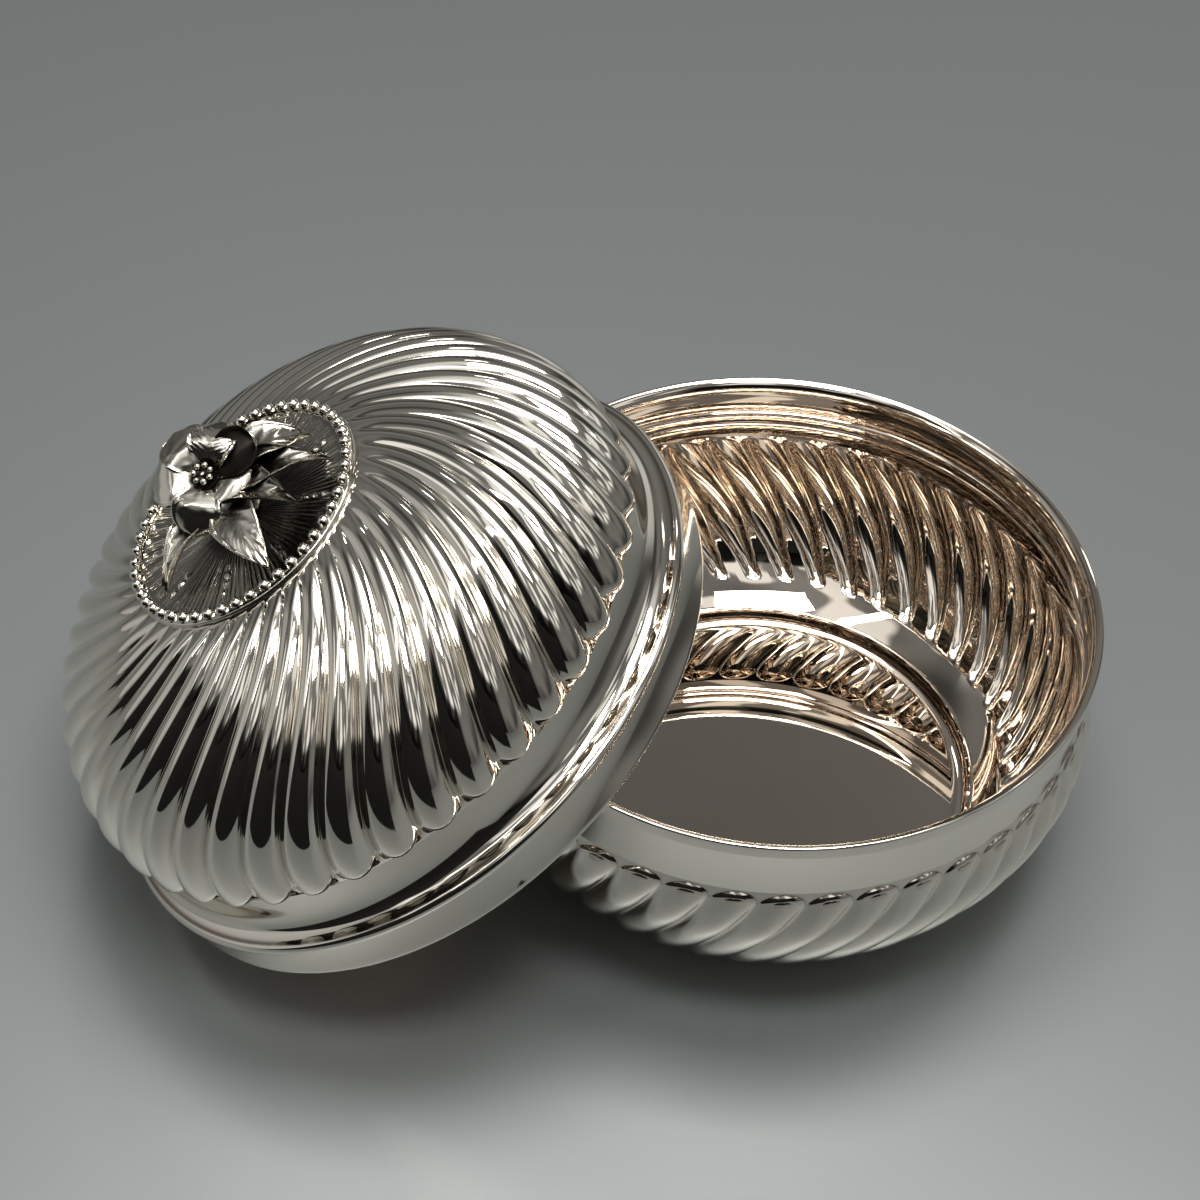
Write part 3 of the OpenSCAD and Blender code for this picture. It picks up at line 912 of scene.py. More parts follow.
        # Painted shadow: a dark ring over the step between the floor and the shoulder.
        MeshMaker.mark(made, "tarnish_and_painted_shade", lambda r, z: 0.9 * (z > middle) * smooth_step(r, dark - 0.3, dark)
                       * (1 - smooth_step(r, crest[0] - 0.1, crest[0] + 0.2)))
        return MeshMaker.mark(made, "lining", lambda r, z: (r < self.shoulder_r) & (z > middle))

    def _foot(self) -> Piece:
        """The foot wire under the floor."""
        r0, r1, k = self.foot_r - self.foot_width, self.foot_r, self.edge_round
        return MeshMaker.lathe("foot_wire_silver", [
            *arc((r0 + k, k), k, 180, 270, 6), *arc((r1 - k, k), k, 270, 360, 6), (r1, self.foot_height),
            (r0, self.foot_height)], 192)


# ---------------------------------------------------------------- the cover


@dataclass
class Cover:
    """The cover: skirt, moulding, cove and fluted dome. Sizes in millimetres."""

    bowl: Bowl
    skirt_clearance: float = 0.35
    skirt_t: float = 0.8
    skirt_height: float = 9.2
    skirt_flare: float = 0.8
    moulding_r: float = 1.15
    cove_height: float = 9.0
    cove_inset: float = 3.9
    wall: float = 0.9
    dome_height: float = 35.0
    crown_r: float = 23.8
    crown_flange: float = 2.4
    dome_bulge: float = 2.8
    ledge: float = 2.2
    lean: float = 33.3
    rest_gap: float = 0.2
    table_gap: float = 0.05
    flutes: int = 42
    flute_depth: float = 2.02
    swirl: float = 42.0
    inside_box: float = 0.01
    columns: int = 336
    body: str = "lid"

    @property
    def skirt_in(self) -> float:
        """Inner radius of the skirt."""
        return self.bowl.lip_r + self.skirt_clearance

    @property
    def skirt_r(self) -> float:
        """Outer radius of the skirt at its top."""
        return self.skirt_in + self.skirt_t

    @property
    def cove_r(self) -> float:
        """Outer radius where the cove meets the lobes."""
        return self.skirt_r - self.cove_inset

    @property
    def cove_top(self) -> float:
        """Height where the dome begins, above the skirt's edge."""
        return self.skirt_height + self.cove_height

    @property
    def dome_top(self) -> float:
        """Height of the dome's flat top edge."""
        return self.cove_top + self.dome_height

    @property
    def curve(self) -> Profile:
        """Profile of the grooves from the crown to the cove."""
        return [(self.crown_r, self.dome_top),
                (self.crown_r + 0.55 * (self.cove_r - self.crown_r), self.dome_top - 0.14 * self.dome_height),
                (self.cove_r + self.dome_bulge, self.cove_top + 0.5 * self.dome_height),
                (self.cove_r, self.cove_top)]

    def set_down(self, made: Piece) -> Piece:
        """Moves a piece's mesh from the cover's own frame to where it leans on the table and on the bowl's lip."""
        slope = math.radians(self.lean)
        edge = self.skirt_r + self.skirt_flare
        reach = (self.bowl.rim_height - edge * math.sin(slope)) / math.sin(slope)
        side = math.sqrt(self.skirt_in ** 2 - reach ** 2)
        chord = math.sqrt(self.bowl.lip_r ** 2 - side ** 2)
        place = Vector((-(chord + reach * math.cos(slope) + self.rest_gap), 0.0,
                        edge * math.sin(slope) + self.table_gap)) * MM
        made.data.transform(Matrix.Translation(place) @ Matrix.Rotation(-slope, 4, "Y"))
        made.data.update()
        return made

    def build(self, tree: FluteTree, outside: Material) -> None:
        """Builds and dresses the cover without its finial."""
        for made, node in ((self._dome(tree, outside), "cover_dome"), (self._cove(), "cover_cove"),
                           (self._moulding(), "cover_moulding"), (self._skirt(), "cover_skirt")):
            MeshMaker.finish(self.set_down(made), self.body, outside, Slot.OUTSIDE, node)

    def _swell(self, t: Array) -> Array:
        """How far the lobes rise along the profile, 0 to 1."""
        return ((0.3 + 0.7 * smooth_step(t, 0, 0.6) + 0.06 * smooth_step(t, 0.75, 0.95)) * smooth_step(t, -0.02, 0.1)
                * quarter_round(-t, -0.992, -0.952))

    def _dome(self, tree: FluteTree, material: Material) -> Piece:
        """The fluted dome: narrow flutes at the crown widen to round lobes that hang over the cove."""
        return FluteShell(
            "cover_dome_silver", outside=rows((0.0, 0.9, 42), (0.9, 0.948, 5), (0.948, 0.993, 17), (0.993, 1.0, 2)),
            inside=rows((0.0, 0.9, 20), (0.9, 1.0, 12)),
            # Painted shadow: a dark line under the lobes' round ends, where they hang over the cove.
            tarnish_and_painted_shade=(lambda v: 0.75 * hill(v, 0.99, 0.004), np.zeros_like), swell=self._swell, hollow=self._swell,
            hang=lambda v: -v * v * (1 - smooth_step(v, 0.985, 1.0)), width=np.ones_like, rise=np.zeros_like,
            wall=self.wall, flange=self.crown_flange, flutes=self.flutes, curve=self.curve,
            sizes={"Depth": self.flute_depth * MM, "Arc Radius": 1.08, "Fillet": 0.32,
                   "Swirl": math.radians(self.swirl), "Swirl Start": 1.0, "Swirl Power": 1.7, "Scallop": 0.07},
        ).build(tree, material)

    def _cove(self) -> Piece:
        """The plain cove between lobes and moulding."""
        outer = bezier([(self.skirt_r, self.skirt_height),
                        (self.skirt_r - self.cove_inset * 0.9, self.skirt_height + self.cove_height * 0.04),
                        (self.cove_r, self.skirt_height + self.cove_height * 0.20),
                        (self.cove_r, self.cove_top - self.bowl.seam)], 28)
        made = MeshMaker.lathe("cover_cove_silver", [
            (self.skirt_r - self.ledge, self.skirt_height), *outer,
            *(outer[::-1][:-1] - np.array([self.wall, 0.0]))], self.columns)
        foot = self.skirt_r
        # Painted shade: a dark ring at the foot of the cove, just above the moulding.
        return MeshMaker.mark(made, "tarnish_and_painted_shade", lambda r, z: 0.9 * smooth_step(r, foot - 0.9, foot - 0.3))

    def _moulding(self) -> Piece:
        """The half-round moulding."""
        section = arc((self.skirt_r, self.skirt_height - self.moulding_r), self.moulding_r - self.inside_box,
                      -90, 90, 20)
        return MeshMaker.lathe("cover_moulding_silver", section, self.columns)

    def _skirt(self) -> Piece:
        """The plain skirt that slips over the bowl's lip."""
        edge, k = self.skirt_r + self.skirt_flare - self.inside_box, 0.25
        outer = bezier([(edge, k), (self.skirt_r + self.skirt_flare * 0.35, self.skirt_height * 0.3),
                        (self.skirt_r, self.skirt_height * 0.5), (self.skirt_r, self.skirt_height)], 14)
        return MeshMaker.lathe("cover_skirt_silver", [
            (self.skirt_in, k), *arc((self.skirt_in + k, k), k, 180, 270, 4)[1:], *arc((edge - k, k), k, 270, 360, 5),
            *outer[1:], (self.skirt_in, self.skirt_height)], self.columns)


# ---------------------------------------------------------------- the finial


@dataclass(frozen=True)
class Blade:
    """One leaf or petal.

    Attributes:
        length: From root to tip.
        half: Half width at its widest.
        lift: Height of its arch.
        tip: Height of its tip above the root.
        cup: Rise of its edges towards the tip.
        fold: Depth of the fold along the midrib.
        curl: Roll of its edges, downwards where negative.
        teeth: Depth of its serration, as a share of the width.
        veins: Side veins on each half.
        vein_height: Height of the veins.
        broad: Where along its length it is widest, 0 to 1.
        root: Width at the root, as a share of the widest.
        blunt: How late its end narrows.
        ending: Shape of the end: 0.5 is round, 1 is pointed.
        wave: Height of the waves along its edges.
        phase: Where the waves start, radians.
        rim: Height of the thickened rim.
        thickness: Thickness of the casting.
        twist: Turn about its own length at the tip, degrees.
        sway: Sideways bend of its tip.
    """

    length: float
    half: float
    lift: float
    tip: float
    cup: float
    fold: float
    curl: float = 0.0
    teeth: float = 0.0
    veins: int = 7
    vein_height: float = 0.2
    broad: float = 0.42
    root: float = 0.22
    blunt: float = 1.5
    ending: float = 0.85
    wave: float = 0.25
    phase: float = 0.0
    rim: float = 0.0
    thickness: float = 0.7
    twist: float = 0.0
    sway: float = 0.0

    def points(self, rows: int = 52, columns: int = 33) -> tuple[Array, Array]:
        """Works out the blade's closed skin.

        Args:
            rows: Points along the blade.
            columns: Points across it.

        Returns:
            The grid of points, wrapped over its long edges, and the mark of oxide and painted shade at each point.
        """
        s = np.linspace(0, 1, rows)[:, None] ** 0.9
        v = np.sin(np.linspace(-math.pi / 2, math.pi / 2, columns))[None, :]
        edge = np.abs(v)
        grow = self.root + (1 - self.root) * np.sin(0.5 * math.pi * np.clip(s / self.broad, 0, 1)) ** 1.3
        late = part_way(s, self.broad, 1.0)
        width = self.half * grow * np.clip(1 - late ** self.blunt, 0.0006, 1) ** self.ending
        saw = (s * self.veins + 0.15) % 1.0
        y = width * (1 - self.teeth * saw ** 1.5 * edge ** 3) * v
        side = self.veins * (s * 1.15 - 0.32 * edge)
        rib = hill(side % 1.0, 0.5, 0.2) * np.clip(edge * 3, 0, 1) * (1 - 0.5 * edge)
        relief = self.vein_height * (rib + 1.2 * hill(v, 0.0, 0.1) * (1 - s)) + self.rim * hill(edge, 0.93, 0.07)
        waves = self.wave * np.sin(8.5 * s + 2.2 * np.sign(v) + self.phase) * edge ** 2 * s
        z = (self.lift * np.sin(math.pi * s) + self.tip * s ** 2 + self.cup * edge ** 2 * s
             + self.fold * edge * (0.3 + s) * (1 - 0.5 * s) + self.curl * edge ** 5 * (0.3 + 0.7 * s) + waves)
        angle = np.radians(self.twist) * s
        along = self.length * s - 0.04 * self.length * edge ** 2 * s
        top = np.stack([along, y * np.cos(angle) + self.sway * s ** 2, z + y * np.sin(angle) + relief], -1)
        under = top.copy()
        under[..., 2] -= self.thickness * (1 - 0.6 * edge ** 2) * (1 - 0.4 * s) + relief * 0.5
        # Oxide and painted shade on top: darker towards the root and between the veins, lighter towards the rubbed
        # edges.
        oxide_and_painted_shade = np.clip(0.35 * (1 - s) + 0.22 * (1 - rib) * (self.vein_height > 0.1) - 0.35 * edge ** 2, 0, 1)
        # Painted shade on the underside, darker towards the root.
        shade = np.clip(0.45 - 0.2 * s + 0 * v, 0, 1)
        return np.concatenate([top, under[:, ::-1]], 1), np.concatenate([oxide_and_painted_shade, shade[:, ::-1]], 1)


@dataclass
class OcclusionShadeProbe:
    """Finds how much sky each point of a group of castings has hidden by its neighbours: painted occlusion shade, on
    top of the oxide in the hollows.

    Attributes:
        reach: How far a ray looks, in millimetres.
        start: How far above the skin a ray starts, in millimetres.
        rays: Rays sent from each point.
        weight: Share of the hidden directions that is added to the mark of oxide and painted shade.
    """

    reach: float = 9.0
    start: float = 0.08
    rays: int = 12
    weight: float = 0.85

    def mark(self, pieces: Sequence[Piece]) -> None:
        """Adds the hidden share of the sky at every point to the pieces' mark of oxide and painted shade."""
        points, faces = [], []
        for piece in pieces:
            first = len(points)
            points += [vertex.co.copy() for vertex in piece.data.vertices]
            faces += [[first + index for index in polygon.vertices] for polygon in piece.data.polygons]
        tree = BVHTree.FromPolygons(points, faces)
        golden = math.pi * (3 - math.sqrt(5))
        rays = [Vector((math.cos(golden * k) * math.sqrt(u), math.sin(golden * k) * math.sqrt(u), math.sqrt(1 - u)))
                for k, u in ((k, (k + 0.5) / self.rays) for k in range(self.rays))]
        for piece in pieces:
            oxide_and_painted_shade, hidden = np.zeros((2, len(piece.data.vertices)))
            for vertex in piece.data.vertices:
                upright = vertex.normal.to_track_quat("Z", "Y")
                start = vertex.co + vertex.normal * self.start * MM
                hidden[vertex.index] = sum(tree.ray_cast(start, upright @ ray, self.reach * MM)[0] is not None
                                           for ray in rays)
            known = piece.data.attributes.get("oxide_and_painted_shade")
            if known is not None:
                known.data.foreach_get("value", oxide_and_painted_shade)
                piece.data.attributes.remove(known)
            MeshMaker.attribute(piece, "oxide_and_painted_shade", np.clip(oxide_and_painted_shade + self.weight * hidden / self.rays, 0, 1))


@dataclass
class Finial:
    """The cast flower on its leaves, the engraved plate, the beaded border and the screw. Sizes in millimetres."""

    cover: Cover
    plate_t: float = 0.9
    bead_count: int = 48
    bead_r: float = 1.2
    strap_half: float = 0.96
    strap_t: float = 0.35
    plate_lap: float = 0.3
    engraving: float = 0.16
    ray_count: int = 120
    pearl_groups: int = 9
    pearls_in_group: int = 3
    pearl_ring: float = 14.6
    pearl_step: float = 2.0
    pearl_r: float = 0.72
    stem_height: float = 9.6
    stem_r: float = 1.9
    stem_spread: float = 1.7
    stud_r: float = 1.5
    stud_clearance: float = 0.08
    nut_r: float = 3.2
    nut_t: float = 2.0
    washer_r: float = 6.0
    washer_t: float = 0.8
    screw_end: float = 1.0
    seam: float = 0.02
    leaf_tip_gap: float = 2.0
    leaf_height: float = 3.6
    leaf_half: float = 4.2
    petal_length: float = 9.6
    petal_half: float = 4.3
    stamen_count: int = 7
    nod: float = 32.0
    nod_towards: float = -59.0

    @property
    def plate_r(self) -> float:
        """Radius of the plate."""
        return self.cover.crown_r + self.plate_lap

    @property
    def border_r(self) -> float:
        """Radius of the ring of beads."""
        return self.plate_r - self.bead_r - 0.1

    @property
    def plate_low(self) -> float:
        """Height of the plate's underside in the cover's frame."""
        return self.cover.dome_top + self.seam

    @property
    def plate_top(self) -> float:
        """Height of the plate's face in the cover's frame."""
        return self.plate_low + self.plate_t

    @property
    def hole_r(self) -> float:
        """Radius of the holes that the screw passes through."""
        return self.stud_r + self.stud_clearance

    @property
    def flower_base(self) -> float:
        """Height of the petals' roots."""
        return self.plate_top + self.stem_height

    @property
    def leaf_length(self) -> float:
        """Length of a leaf of plain stretch."""
        return self.border_r - self.bead_r - self.leaf_tip_gap - 0.35 * self.stem_r

    def build(self, rings: RingTree, bright: Material, cast: Material, plate: Material) -> None:
        """Builds and dresses the finial."""
        chased = [self._plate(), self._stem(), self._leaves(), self._petals(), self._stamens(rings, cast)]
        # Paints occlusion shade into the castings' dark mark, on top of the oxide in their hollows.
        OcclusionShadeProbe().mark(chased)
        for made, node in zip(chased, ("finial_plate", "finial_stem", "leaves", "petals", "stamens")):
            self._add(made, plate if node == "finial_plate" else cast, Slot.OXIDISED, node)
        self._add(self._border(rings, bright), bright, Slot.OUTSIDE, "beaded_border")
        self._add(self._washer(), bright, Slot.INSIDE, "finial_washer")
        self._add(self._nut(), bright, Slot.INSIDE, "finial_nut")

    def _add(self, made: Piece, material: Material, slot: Slot, node: str) -> None:
        """Sets a piece down with the cover and dresses it."""
        MeshMaker.finish(self.cover.set_down(made), self.cover.body, material, slot, node)

    def _plate(self) -> Piece:
        """The plate with its engraved rays and pearls."""
        inner = self.plate_r - 2 * self.bead_r - 0.3
        turn = full_turn(600)
        r = np.concatenate([np.linspace(self.hole_r, inner, 40), [self.plate_r - 0.15, self.plate_r]])[:, None]
        rays = 0.5 + 0.5 * np.cos(turn * self.ray_count)[None, :]
        drift = 0.5 + 0.5 * np.cos(turn * 37 + 2.0)[None, :]
        cut = self.engraving * rays * (0.4 + 0.6 * drift) * ((r > 2 * self.stem_r) & (r < inner - 0.3))
        pearls = np.zeros_like(cut)
        for group in range(self.pearl_groups):
            for k in range(self.pearls_in_group):
                angle, radius = FULL_TURN * (group + 0.5) / self.pearl_groups, self.pearl_ring + self.pearl_step * k
                gap = np.hypot(r * np.cos(turn) - radius * math.cos(angle), r * np.sin(turn) - radius * math.sin(angle))
                pearls = np.maximum(pearls, np.sqrt(np.clip(1 - (gap / (self.pearl_r - 0.12 * k)) ** 2, 0, 1)))
        z = self.plate_top - cut * (1 - pearls) - self.engraving + self.engraving * (r > inner) + 0.45 * pearls
        z[-1] = self.plate_top - 0.15
        under = turned(np.array([[self.plate_r], [self.hole_r]]), turn, self.plate_low)
        made = MeshMaker.grid("finial_plate_silver", np.concatenate([turned(r, turn, z), under]), True, True)
        shade = np.clip(0.28 + 0.35 * rays * (cut > 0) - pearls, 0, 1) * (r < inner)
        MeshMaker.attribute(made, "oxide_and_painted_shade", np.concatenate([shade, np.zeros_like(shade[:2])]))
        MeshMaker.tidy(made, sharp=60.0)
        return made

    def _border(self, rings: RingTree, material: Material) -> Piece:
        """Beads in a row, each on a low strap."""
        r, half, low, high = self.border_r, self.strap_half, self.plate_top, self.plate_top + self.strap_t
        bead = MeshMaker.lathe("bead_shape", [
            (0.0, -self.strap_t), *((self.bead_r * math.cos(a), self.bead_r * math.sin(a))
                                    for a in np.linspace(-0.28, math.pi / 2, 9))], 18)
        made = MeshMaker.lathe("beaded_border_silver", [(r - half, low), (r + half, low), (r + 0.85, high),
                                                        (r - 0.85, high)], 240)
        return MeshMaker.join(made, rings.copies(bead, material, Count=self.bead_count, Radius=r * MM,
                                                 Height=high * MM, Size_Change=0.08))

    def _stem(self) -> Piece:
        """The stem with its calyx, and the screw under it."""
        z, h, r = self.plate_top, self.stem_height, self.stem_r
        low = self.cover.dome_top - (self.washer_t + self.nut_t + self.screw_end)
        root = r + self.stem_spread
        swell = bezier([(root, z), (root - 0.4, z + 0.27 * h), (r, z + 0.29 * h), (r, z + 0.77 * h)], 14)
        cup = bezier([(r, z + 0.77 * h), (r + 0.2, z + 0.87 * h), (1.6 * r, z + 0.91 * h), (1.55 * r, z + 1.02 * h)],
                     10)
        made = MeshMaker.lathe("finial_stem_silver", [
            (0.0, low), (self.stud_r - 0.2, low), (self.stud_r, low + 0.2), (self.stud_r, z), *swell, *cup[1:],
            (0.0, z + h + 0.6)], 48)
        return MeshMaker.mark(made, "oxide_and_painted_shade", lambda radius, height: 0.6 + 0 * radius)

    def _leaves(self) -> Piece:
        """Veined leaves that spread from the stem over the plate."""
        size, half, drop = self.leaf_length, self.leaf_half, -0.7 * self.leaf_height
        plain = {"fold": 1.2, "curl": 0.5, "veins": 6}
        rows = {
            -138: Blade(size, 0.85 * half, 2.4, drop, 0.8, 1.2, 0.5, 0.04, 5, 0.12, wave=0.5, rim=0.25),
            -69: Blade(1.12 * size, 1.1 * half, 3.2, drop, -0.8, **plain, rim=0.35, broad=0.5, wave=0.3, phase=1.2,
                       twist=10),
            -36: Blade(0.86 * size, 1.05 * half, 3.4, 0.6 * drop, 1.2, 1.2, 1.2, veins=6, wave=0.6, rim=0.3,
                       twist=-14, sway=1.2),
            -3: Blade(1.06 * size, 1.15 * half, 2.8, drop, 0.6, **plain, rim=0.3, wave=0.45, blunt=1.2, ending=1.0,
                      phase=2.0),
            22: Blade(0.92 * size, 1.15 * half, 4.0, 0.5 * drop, 0.4, 1.2, 0.9, veins=6, wave=0.7, rim=0.25,
                      broad=0.55, blunt=2.2, ending=0.6),
            55: Blade(size, half, 2.8, drop, 0.3, 1.2, teeth=0.2, veins=9, vein_height=0.28, wave=0.15),
            150: Blade(size, half, 2.8, drop, 0.6, 1.2, teeth=0.12, veins=8, wave=0.3)}
        return self._fan("leaves_silver", rows, 0.35 * self.stem_r, self.plate_top + self.leaf_height, 0.3)

    def _petals(self) -> Piece:
        """Six cupped petals with round wavy ends round the flower's centre, which nods on its stem."""
        size, half = self.petal_length, self.petal_half
        common = {"broad": 0.6, "root": 0.5, "blunt": 2.6, "ending": 0.5}
        plain = {"veins": 3, "vein_height": 0.05, **common}
        rows = {
            -46: Blade(size, 1.2 * half, 2.0, -1.2, -1.6, 0.2, wave=0.15, rim=0.35, **plain),
            -116: Blade(0.98 * size, 1.08 * half, 1.8, -1.0, -1.0, 0.2, wave=0.4, rim=0.2, phase=1.0, **plain),
            172: Blade(0.94 * size, 1.1 * half, 2.0, -0.8, -0.7, 0.2, wave=0.5, rim=0.2, phase=4.0, **plain),
            112: Blade(size, 1.1 * half, 2.2, -0.4, -0.7, 0.2, wave=0.5, rim=0.2, phase=3.0, **plain),
            62: Blade(size, 1.05 * half, 3.0, -0.8, -1.8, 0.9, wave=0.5, rim=0.3, phase=2.0, veins=9, **common),
            18: Blade(1.05 * size, half, 1.0, 1.0, 1.5, 0.9, wave=0.3, rim=0.3, phase=1.0, **plain)}
        return self._nod(self._fan("petals_silver", rows, 1.0, self.flower_base, 0.25))

    def _nod(self, made: Piece) -> Piece:
        """Turns a piece of the flower with the nod of its head."""
        centre = Matrix.Translation(Vector((0.0, 0.0, self.flower_base)) * MM)
        a = math.radians(self.nod_towards)
        axis = Vector((-math.sin(a), math.cos(a), 0.0))
        made.data.transform(centre @ Matrix.Rotation(math.radians(self.nod), 4, axis) @ centre.inverted())
        made.data.update()
        return made

    def _fan(self, name: str, blades: dict[float, Blade], root: float, height: float, stagger: float) -> Piece:
        """Sets blades round the stem and joins them.

        Args:
            name: Name of the piece.
            blades: Each blade by its direction in degrees.
            root: Distance of the roots from the stem's axis.
            height: Height of the roots.
            stagger: How much higher every second blade stands.

        Returns:
            The piece.
        """
        made = []
        for i, (angle, blade) in enumerate(blades.items()):
            skin, oxide_and_painted_shade = blade.points()
            x, y, z = np.moveaxis(skin + np.array([root, 0.0, height + stagger * (i % 2)]), -1, 0)
            c, s = math.cos(math.radians(angle)), math.sin(math.radians(angle))
            made.append(MeshMaker.grid(name, np.stack([x * c - y * s, x * s + y * c, z], -1), False, True))
            MeshMaker.attribute(made[-1], "oxide_and_painted_shade", oxide_and_painted_shade)
            MeshMaker.close_ends(made[-1])
            MeshMaker.tidy(made[-1], sharp=70.0)
        return MeshMaker.join(*made)

    def _stamens(self, rings: RingTree, material: Material) -> Piece:
        """The ring of stamens and the pistil."""
        z, size = self.flower_base + 0.55, 0.32 * self.stem_r
        made = MeshMaker.lathe("stamens_silver", [(0.0, z - 0.2), (1.5, z - 0.2), (1.5, z + 0.5), (0.55, z + 0.45),
                                                  (0.5, z + 1.5), (0.3, z + 1.75), (0.0, z + 1.8)], 40)
        knob = MeshMaker.lathe("knob_shape", [
            (0.0, -size), *((size * math.cos(a), size * math.sin(a)) for a in np.linspace(-1.2, math.pi / 2, 9))], 14)
        thread = MeshMaker.lathe("thread_shape", [(0.0, z), (0.3, z), (0.25, z + 1.5), (0.0, z + 1.5)], 10)
        ring = {"Count": self.stamen_count, "Radius": 0.8 * self.stem_r * MM, "First_Angle": 0.17}
        MeshMaker.join(made, rings.copies(knob, material, **ring, Height=(z + 1.7) * MM, Size_Change=0.2),
                       rings.copies(thread, material, **ring))
        return self._nod(MeshMaker.mark(made, "oxide_and_painted_shade", lambda radius, height: 0.1 + 0 * radius))

    def _washer(self) -> Piece:
        """The washer inside the cover."""
        low, high, r = self.cover.dome_top - self.washer_t, self.plate_low, self.washer_r
        return MeshMaker.lathe("finial_washer_silver", [
            (self.hole_r, low), (r - 0.15, low), (r, low + 0.15), (r, high), (self.hole_r, high)], 72)

    def _nut(self) -> Piece:
        """The hexagon nut on the screw."""
        high = self.cover.dome_top - self.washer_t
        turn = full_turn(72)
        flat = self.nut_r * math.cos(math.pi / 6) / np.cos((turn % (math.pi / 3)) - math.pi / 6)
        made = MeshMaker.grid("finial_nut_silver", np.stack([
            turned(radius, turn, height) for radius, height in (
                (self.hole_r, high - self.nut_t), (flat, high - self.nut_t), (flat, high), (self.hole_r, high))]),
            True, True)
        MeshMaker.tidy(made, sharp=30.0)
        return made


# ---------------------------------------------------------------- the studio


@dataclass(frozen=True)
class Lamp:
    """A soft rectangular lamp that faces the part.

    Attributes:
        name: Its name.
        place: Where it stands, in metres.
        size: Its two sides, in metres.
        power: Its power, in watts.
    """

    name: str
    place: tuple[float, float, float]
    size: tuple[float, float]
    power: float

    def build(self) -> None:
        """Builds the lamp."""
        light = bpy.data.lights.new(self.name, "AREA")
        light.shape, light.size, light.size_y, light.energy = "RECTANGLE", *self.size, self.power
        light.color = (1.0, 0.98, 0.95)
        made = bpy.data.objects.new(self.name, light)
        made.location = self.place
        made.rotation_euler = Vector(self.place).to_track_quat("Z", "Y").to_euler()
        bpy.context.scene.collection.objects.link(made)


LAMPS = (
    Lamp("broad", (0.03, 0.12, 0.83), (0.50, 0.26), 3.7),
    Lamp("front", (0.0, -0.24, 0.82), (0.36, 0.16), 2.4),
    Lamp("strip", (-0.45, -0.15, 0.80), (0.05, 0.7), 0.5),
    Lamp("glint_right", (0.55, 0.05, 0.7), (0.06, 0.06), 0.08),
    Lamp("glint_back", (-0.1, 0.6, 0.75), (0.10, 0.05), 0.12),
)


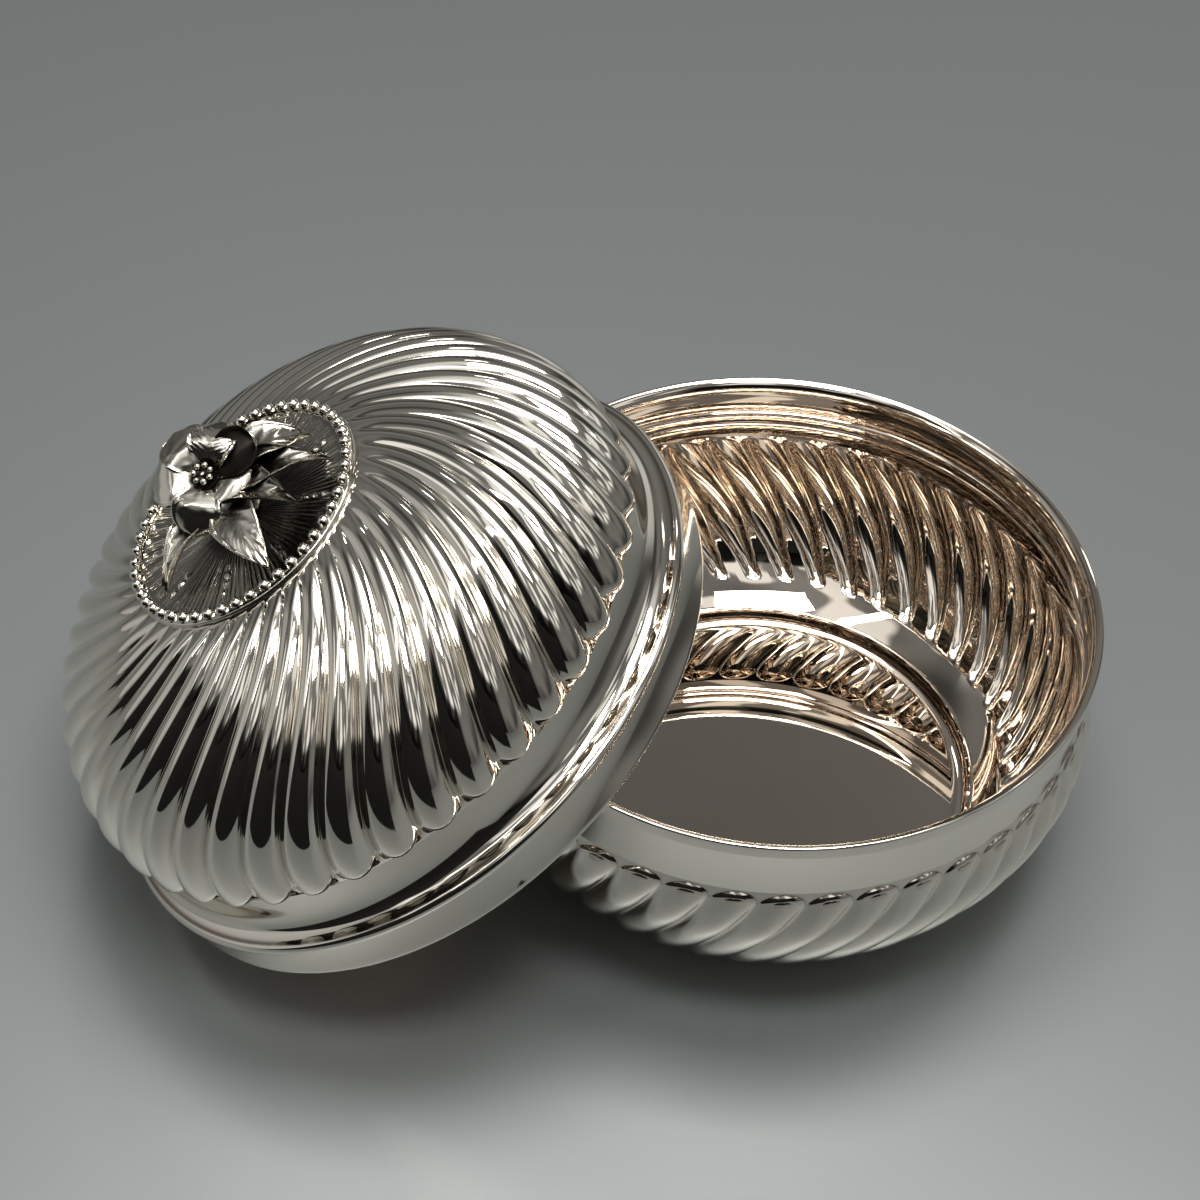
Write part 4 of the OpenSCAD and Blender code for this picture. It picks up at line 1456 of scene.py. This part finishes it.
@dataclass
class Studio:
    """Table, lamps, surroundings and camera.

    Lengths are in millimetres and angles in degrees. A sector is its middle, half its width and its soft edge.
    """

    focal_px: float = 2574.7
    frame_px: float = 1200.0
    sensor_mm: float = 36.0
    pitch: float = 46.17
    roll: float = 2.46
    heading: float = 6.06
    eye: tuple[float, float, float] = (-67.1, -324.6, 393.6)
    table_half: float = 1500.0
    table_tone: Colour = (0.286, 0.307, 0.311)
    room_tone: Colour = (1.0, 0.99, 0.965)
    facing_sector: tuple[float, float, float] = (-88.0, 108.0, 12.0)
    right_sector: tuple[float, float, float] = (57.0, 20.0, 10.0)
    left_sector: tuple[float, float, float] = (172.0, 18.0, 8.0)
    viewer_sector: tuple[float, float, float] = (-112.0, 50.0, 6.0)
    card_tone: tuple[float, float, float, float] = (0.001, 0.001, 0.001, 1.0)
    card_r: float = 225.0
    card_x: float = -55.0
    card_from: float = -158.0
    card_to: float = -74.0
    card_height: float = 150.0

    def build(self) -> None:
        """Builds the studio."""
        self._table()
        self._card()
        self._surroundings()
        for lamp in LAMPS:
            lamp.build()
        self._camera()
        bpy.context.scene.view_settings.view_transform = "Standard"

    def _table(self) -> None:
        """A wide flat table top."""
        ends = (-self.table_half, self.table_half)
        made = MeshMaker.grid("table", np.array([[(x, y, 0.0) for x in ends] for y in ends]))
        made.data.materials.append(SatinTable("grey_table", self.table_tone).build())

    def _card(self) -> None:
        """A black card in front of the part, as a silversmith's studio has, that the camera looks over."""
        turn = np.radians(np.linspace(self.card_from, self.card_to, 40))
        edges = turned(self.card_r, turn, np.array([[1.0], [self.card_height]])) + (self.card_x, 0.0, 0.0)
        made = MeshMaker.grid("black_card", edges)
        made.data.materials.append(SurfaceGraph("black_cloth").dress(self.card_tone, 0.0, 0.9))
        made.visible_camera = made.visible_shadow = False

    def _surroundings(self) -> None:
        """A room of soft light and shade that the silver mirrors."""
        world = bpy.context.scene.world = bpy.data.worlds.new("room")
        world.use_nodes = True
        g = Graph(world.node_tree)
        direction = g.result("ShaderNodeTexCoord", None, "Generated")
        x, y, z = g.parts(direction)
        walls = 0.045 + 0.11 * g.noise(direction, 2.2, 0.0).between(0.35, 0.7)
        patches = 0.1 + 0.9 * g.noise(direction, 4.0, 0.0).between(0.46, 0.58)
        facing = self._sector(x, y, *self.facing_sector)
        front = facing * z.between(0.44, 0.54) * patches * 0.76
        behind = (1.0 - facing) * z.between(0.83, 0.93) * 0.55
        right = self._sector(x, y, *self.right_sector) * (1.0 - z.between(0.30, 0.45)) * 0.40
        left = self._sector(x, y, *self.left_sector) * (1.0 - z.between(0.40, 0.52)) * 0.25
        viewer = self._sector(x, y, *self.viewer_sector) * (1.0 - z.between(0.56, 0.64))
        total = (walls + front + behind + right + left) * (1.0 - viewer * 0.95)
        back = world.node_tree.nodes["Background"]
        g.feed(back.inputs["Color"], g.vector_maths("SCALE", self.room_tone, scale=total))
        g.feed(back.inputs["Strength"], 1.0)

    def _sector(self, x: Value, y: Value, azimuth: float, half: float, soft: float) -> Value:
        """Share of a sector of the horizon at a direction.

        Args:
            x: First part of the direction.
            y: Second part of the direction.
            azimuth: The sector's middle, in degrees.
            half: Half its width, in degrees.
            soft: Half the width of its soft edge, in degrees.

        Returns:
            1 inside the sector and 0 outside.
        """
        a = math.radians(azimuth)
        toward = (x * math.cos(a) + y * math.sin(a)) / ((x * x + y * y) ** 0.5).at_least(0.0001)
        return toward.between(math.cos(math.radians(min(half + soft, 180.0))), math.cos(math.radians(half - soft)))

    def _camera(self) -> None:
        """The camera at the fitted place."""
        pitch, roll, heading = (math.radians(v) for v in (self.pitch, self.roll, self.heading))
        forward = Vector((math.sin(heading) * math.cos(pitch), math.cos(heading) * math.cos(pitch), -math.sin(pitch)))
        right = Vector((math.cos(heading), -math.sin(heading), 0.0))
        up = right.cross(forward)
        right, up = right * math.cos(roll) + up * math.sin(roll), up * math.cos(roll) - right * math.sin(roll)
        camera = bpy.data.cameras.new("camera")
        camera.sensor_width = self.sensor_mm
        camera.lens = self.sensor_mm * self.focal_px / self.frame_px
        camera.clip_start = 0.01
        made = bpy.data.objects.new("camera", camera)
        made.matrix_world = Matrix((right, up, -forward)).transposed().to_4x4()
        made.location = Vector(self.eye) * MM
        bpy.context.scene.collection.objects.link(made)
        bpy.context.scene.camera = made


def main() -> None:
    """Builds the part's classes in order."""
    logging.basicConfig(level=logging.INFO, format="%(message)s")
    # The lining colour is warmer and darker than the outside: a painted tint of warm reflected light.
    bright, lining = (0.93, 0.885, 0.80), (0.90, 0.815, 0.72)
    outside = PolishedSilver("silver_outside", bright, lining, (0.34, 0.30, 0.24)).build()
    inside = PolishedSilver("silver_inside", bright, lining, (0.40, 0.31, 0.26), roughness=0.03, haze=0.02).build()
    cast = CastSilver("silver_cast", (0.86, 0.81, 0.72), (0.03, 0.026, 0.022), 0.24, 0.7).build()
    plate = CastSilver("silver_engraved", (0.84, 0.79, 0.70), (0.06, 0.054, 0.046), 0.5, 1.15).build()
    flutes, rings = FluteTree(), RingTree()
    bowl = Bowl()
    bowl.build(flutes, outside, inside)
    cover = Cover(bowl)
    cover.build(flutes, outside)
    Finial(cover).build(rings, outside, cast, plate)
    Studio().build()


if __name__ == "__main__":
    main()
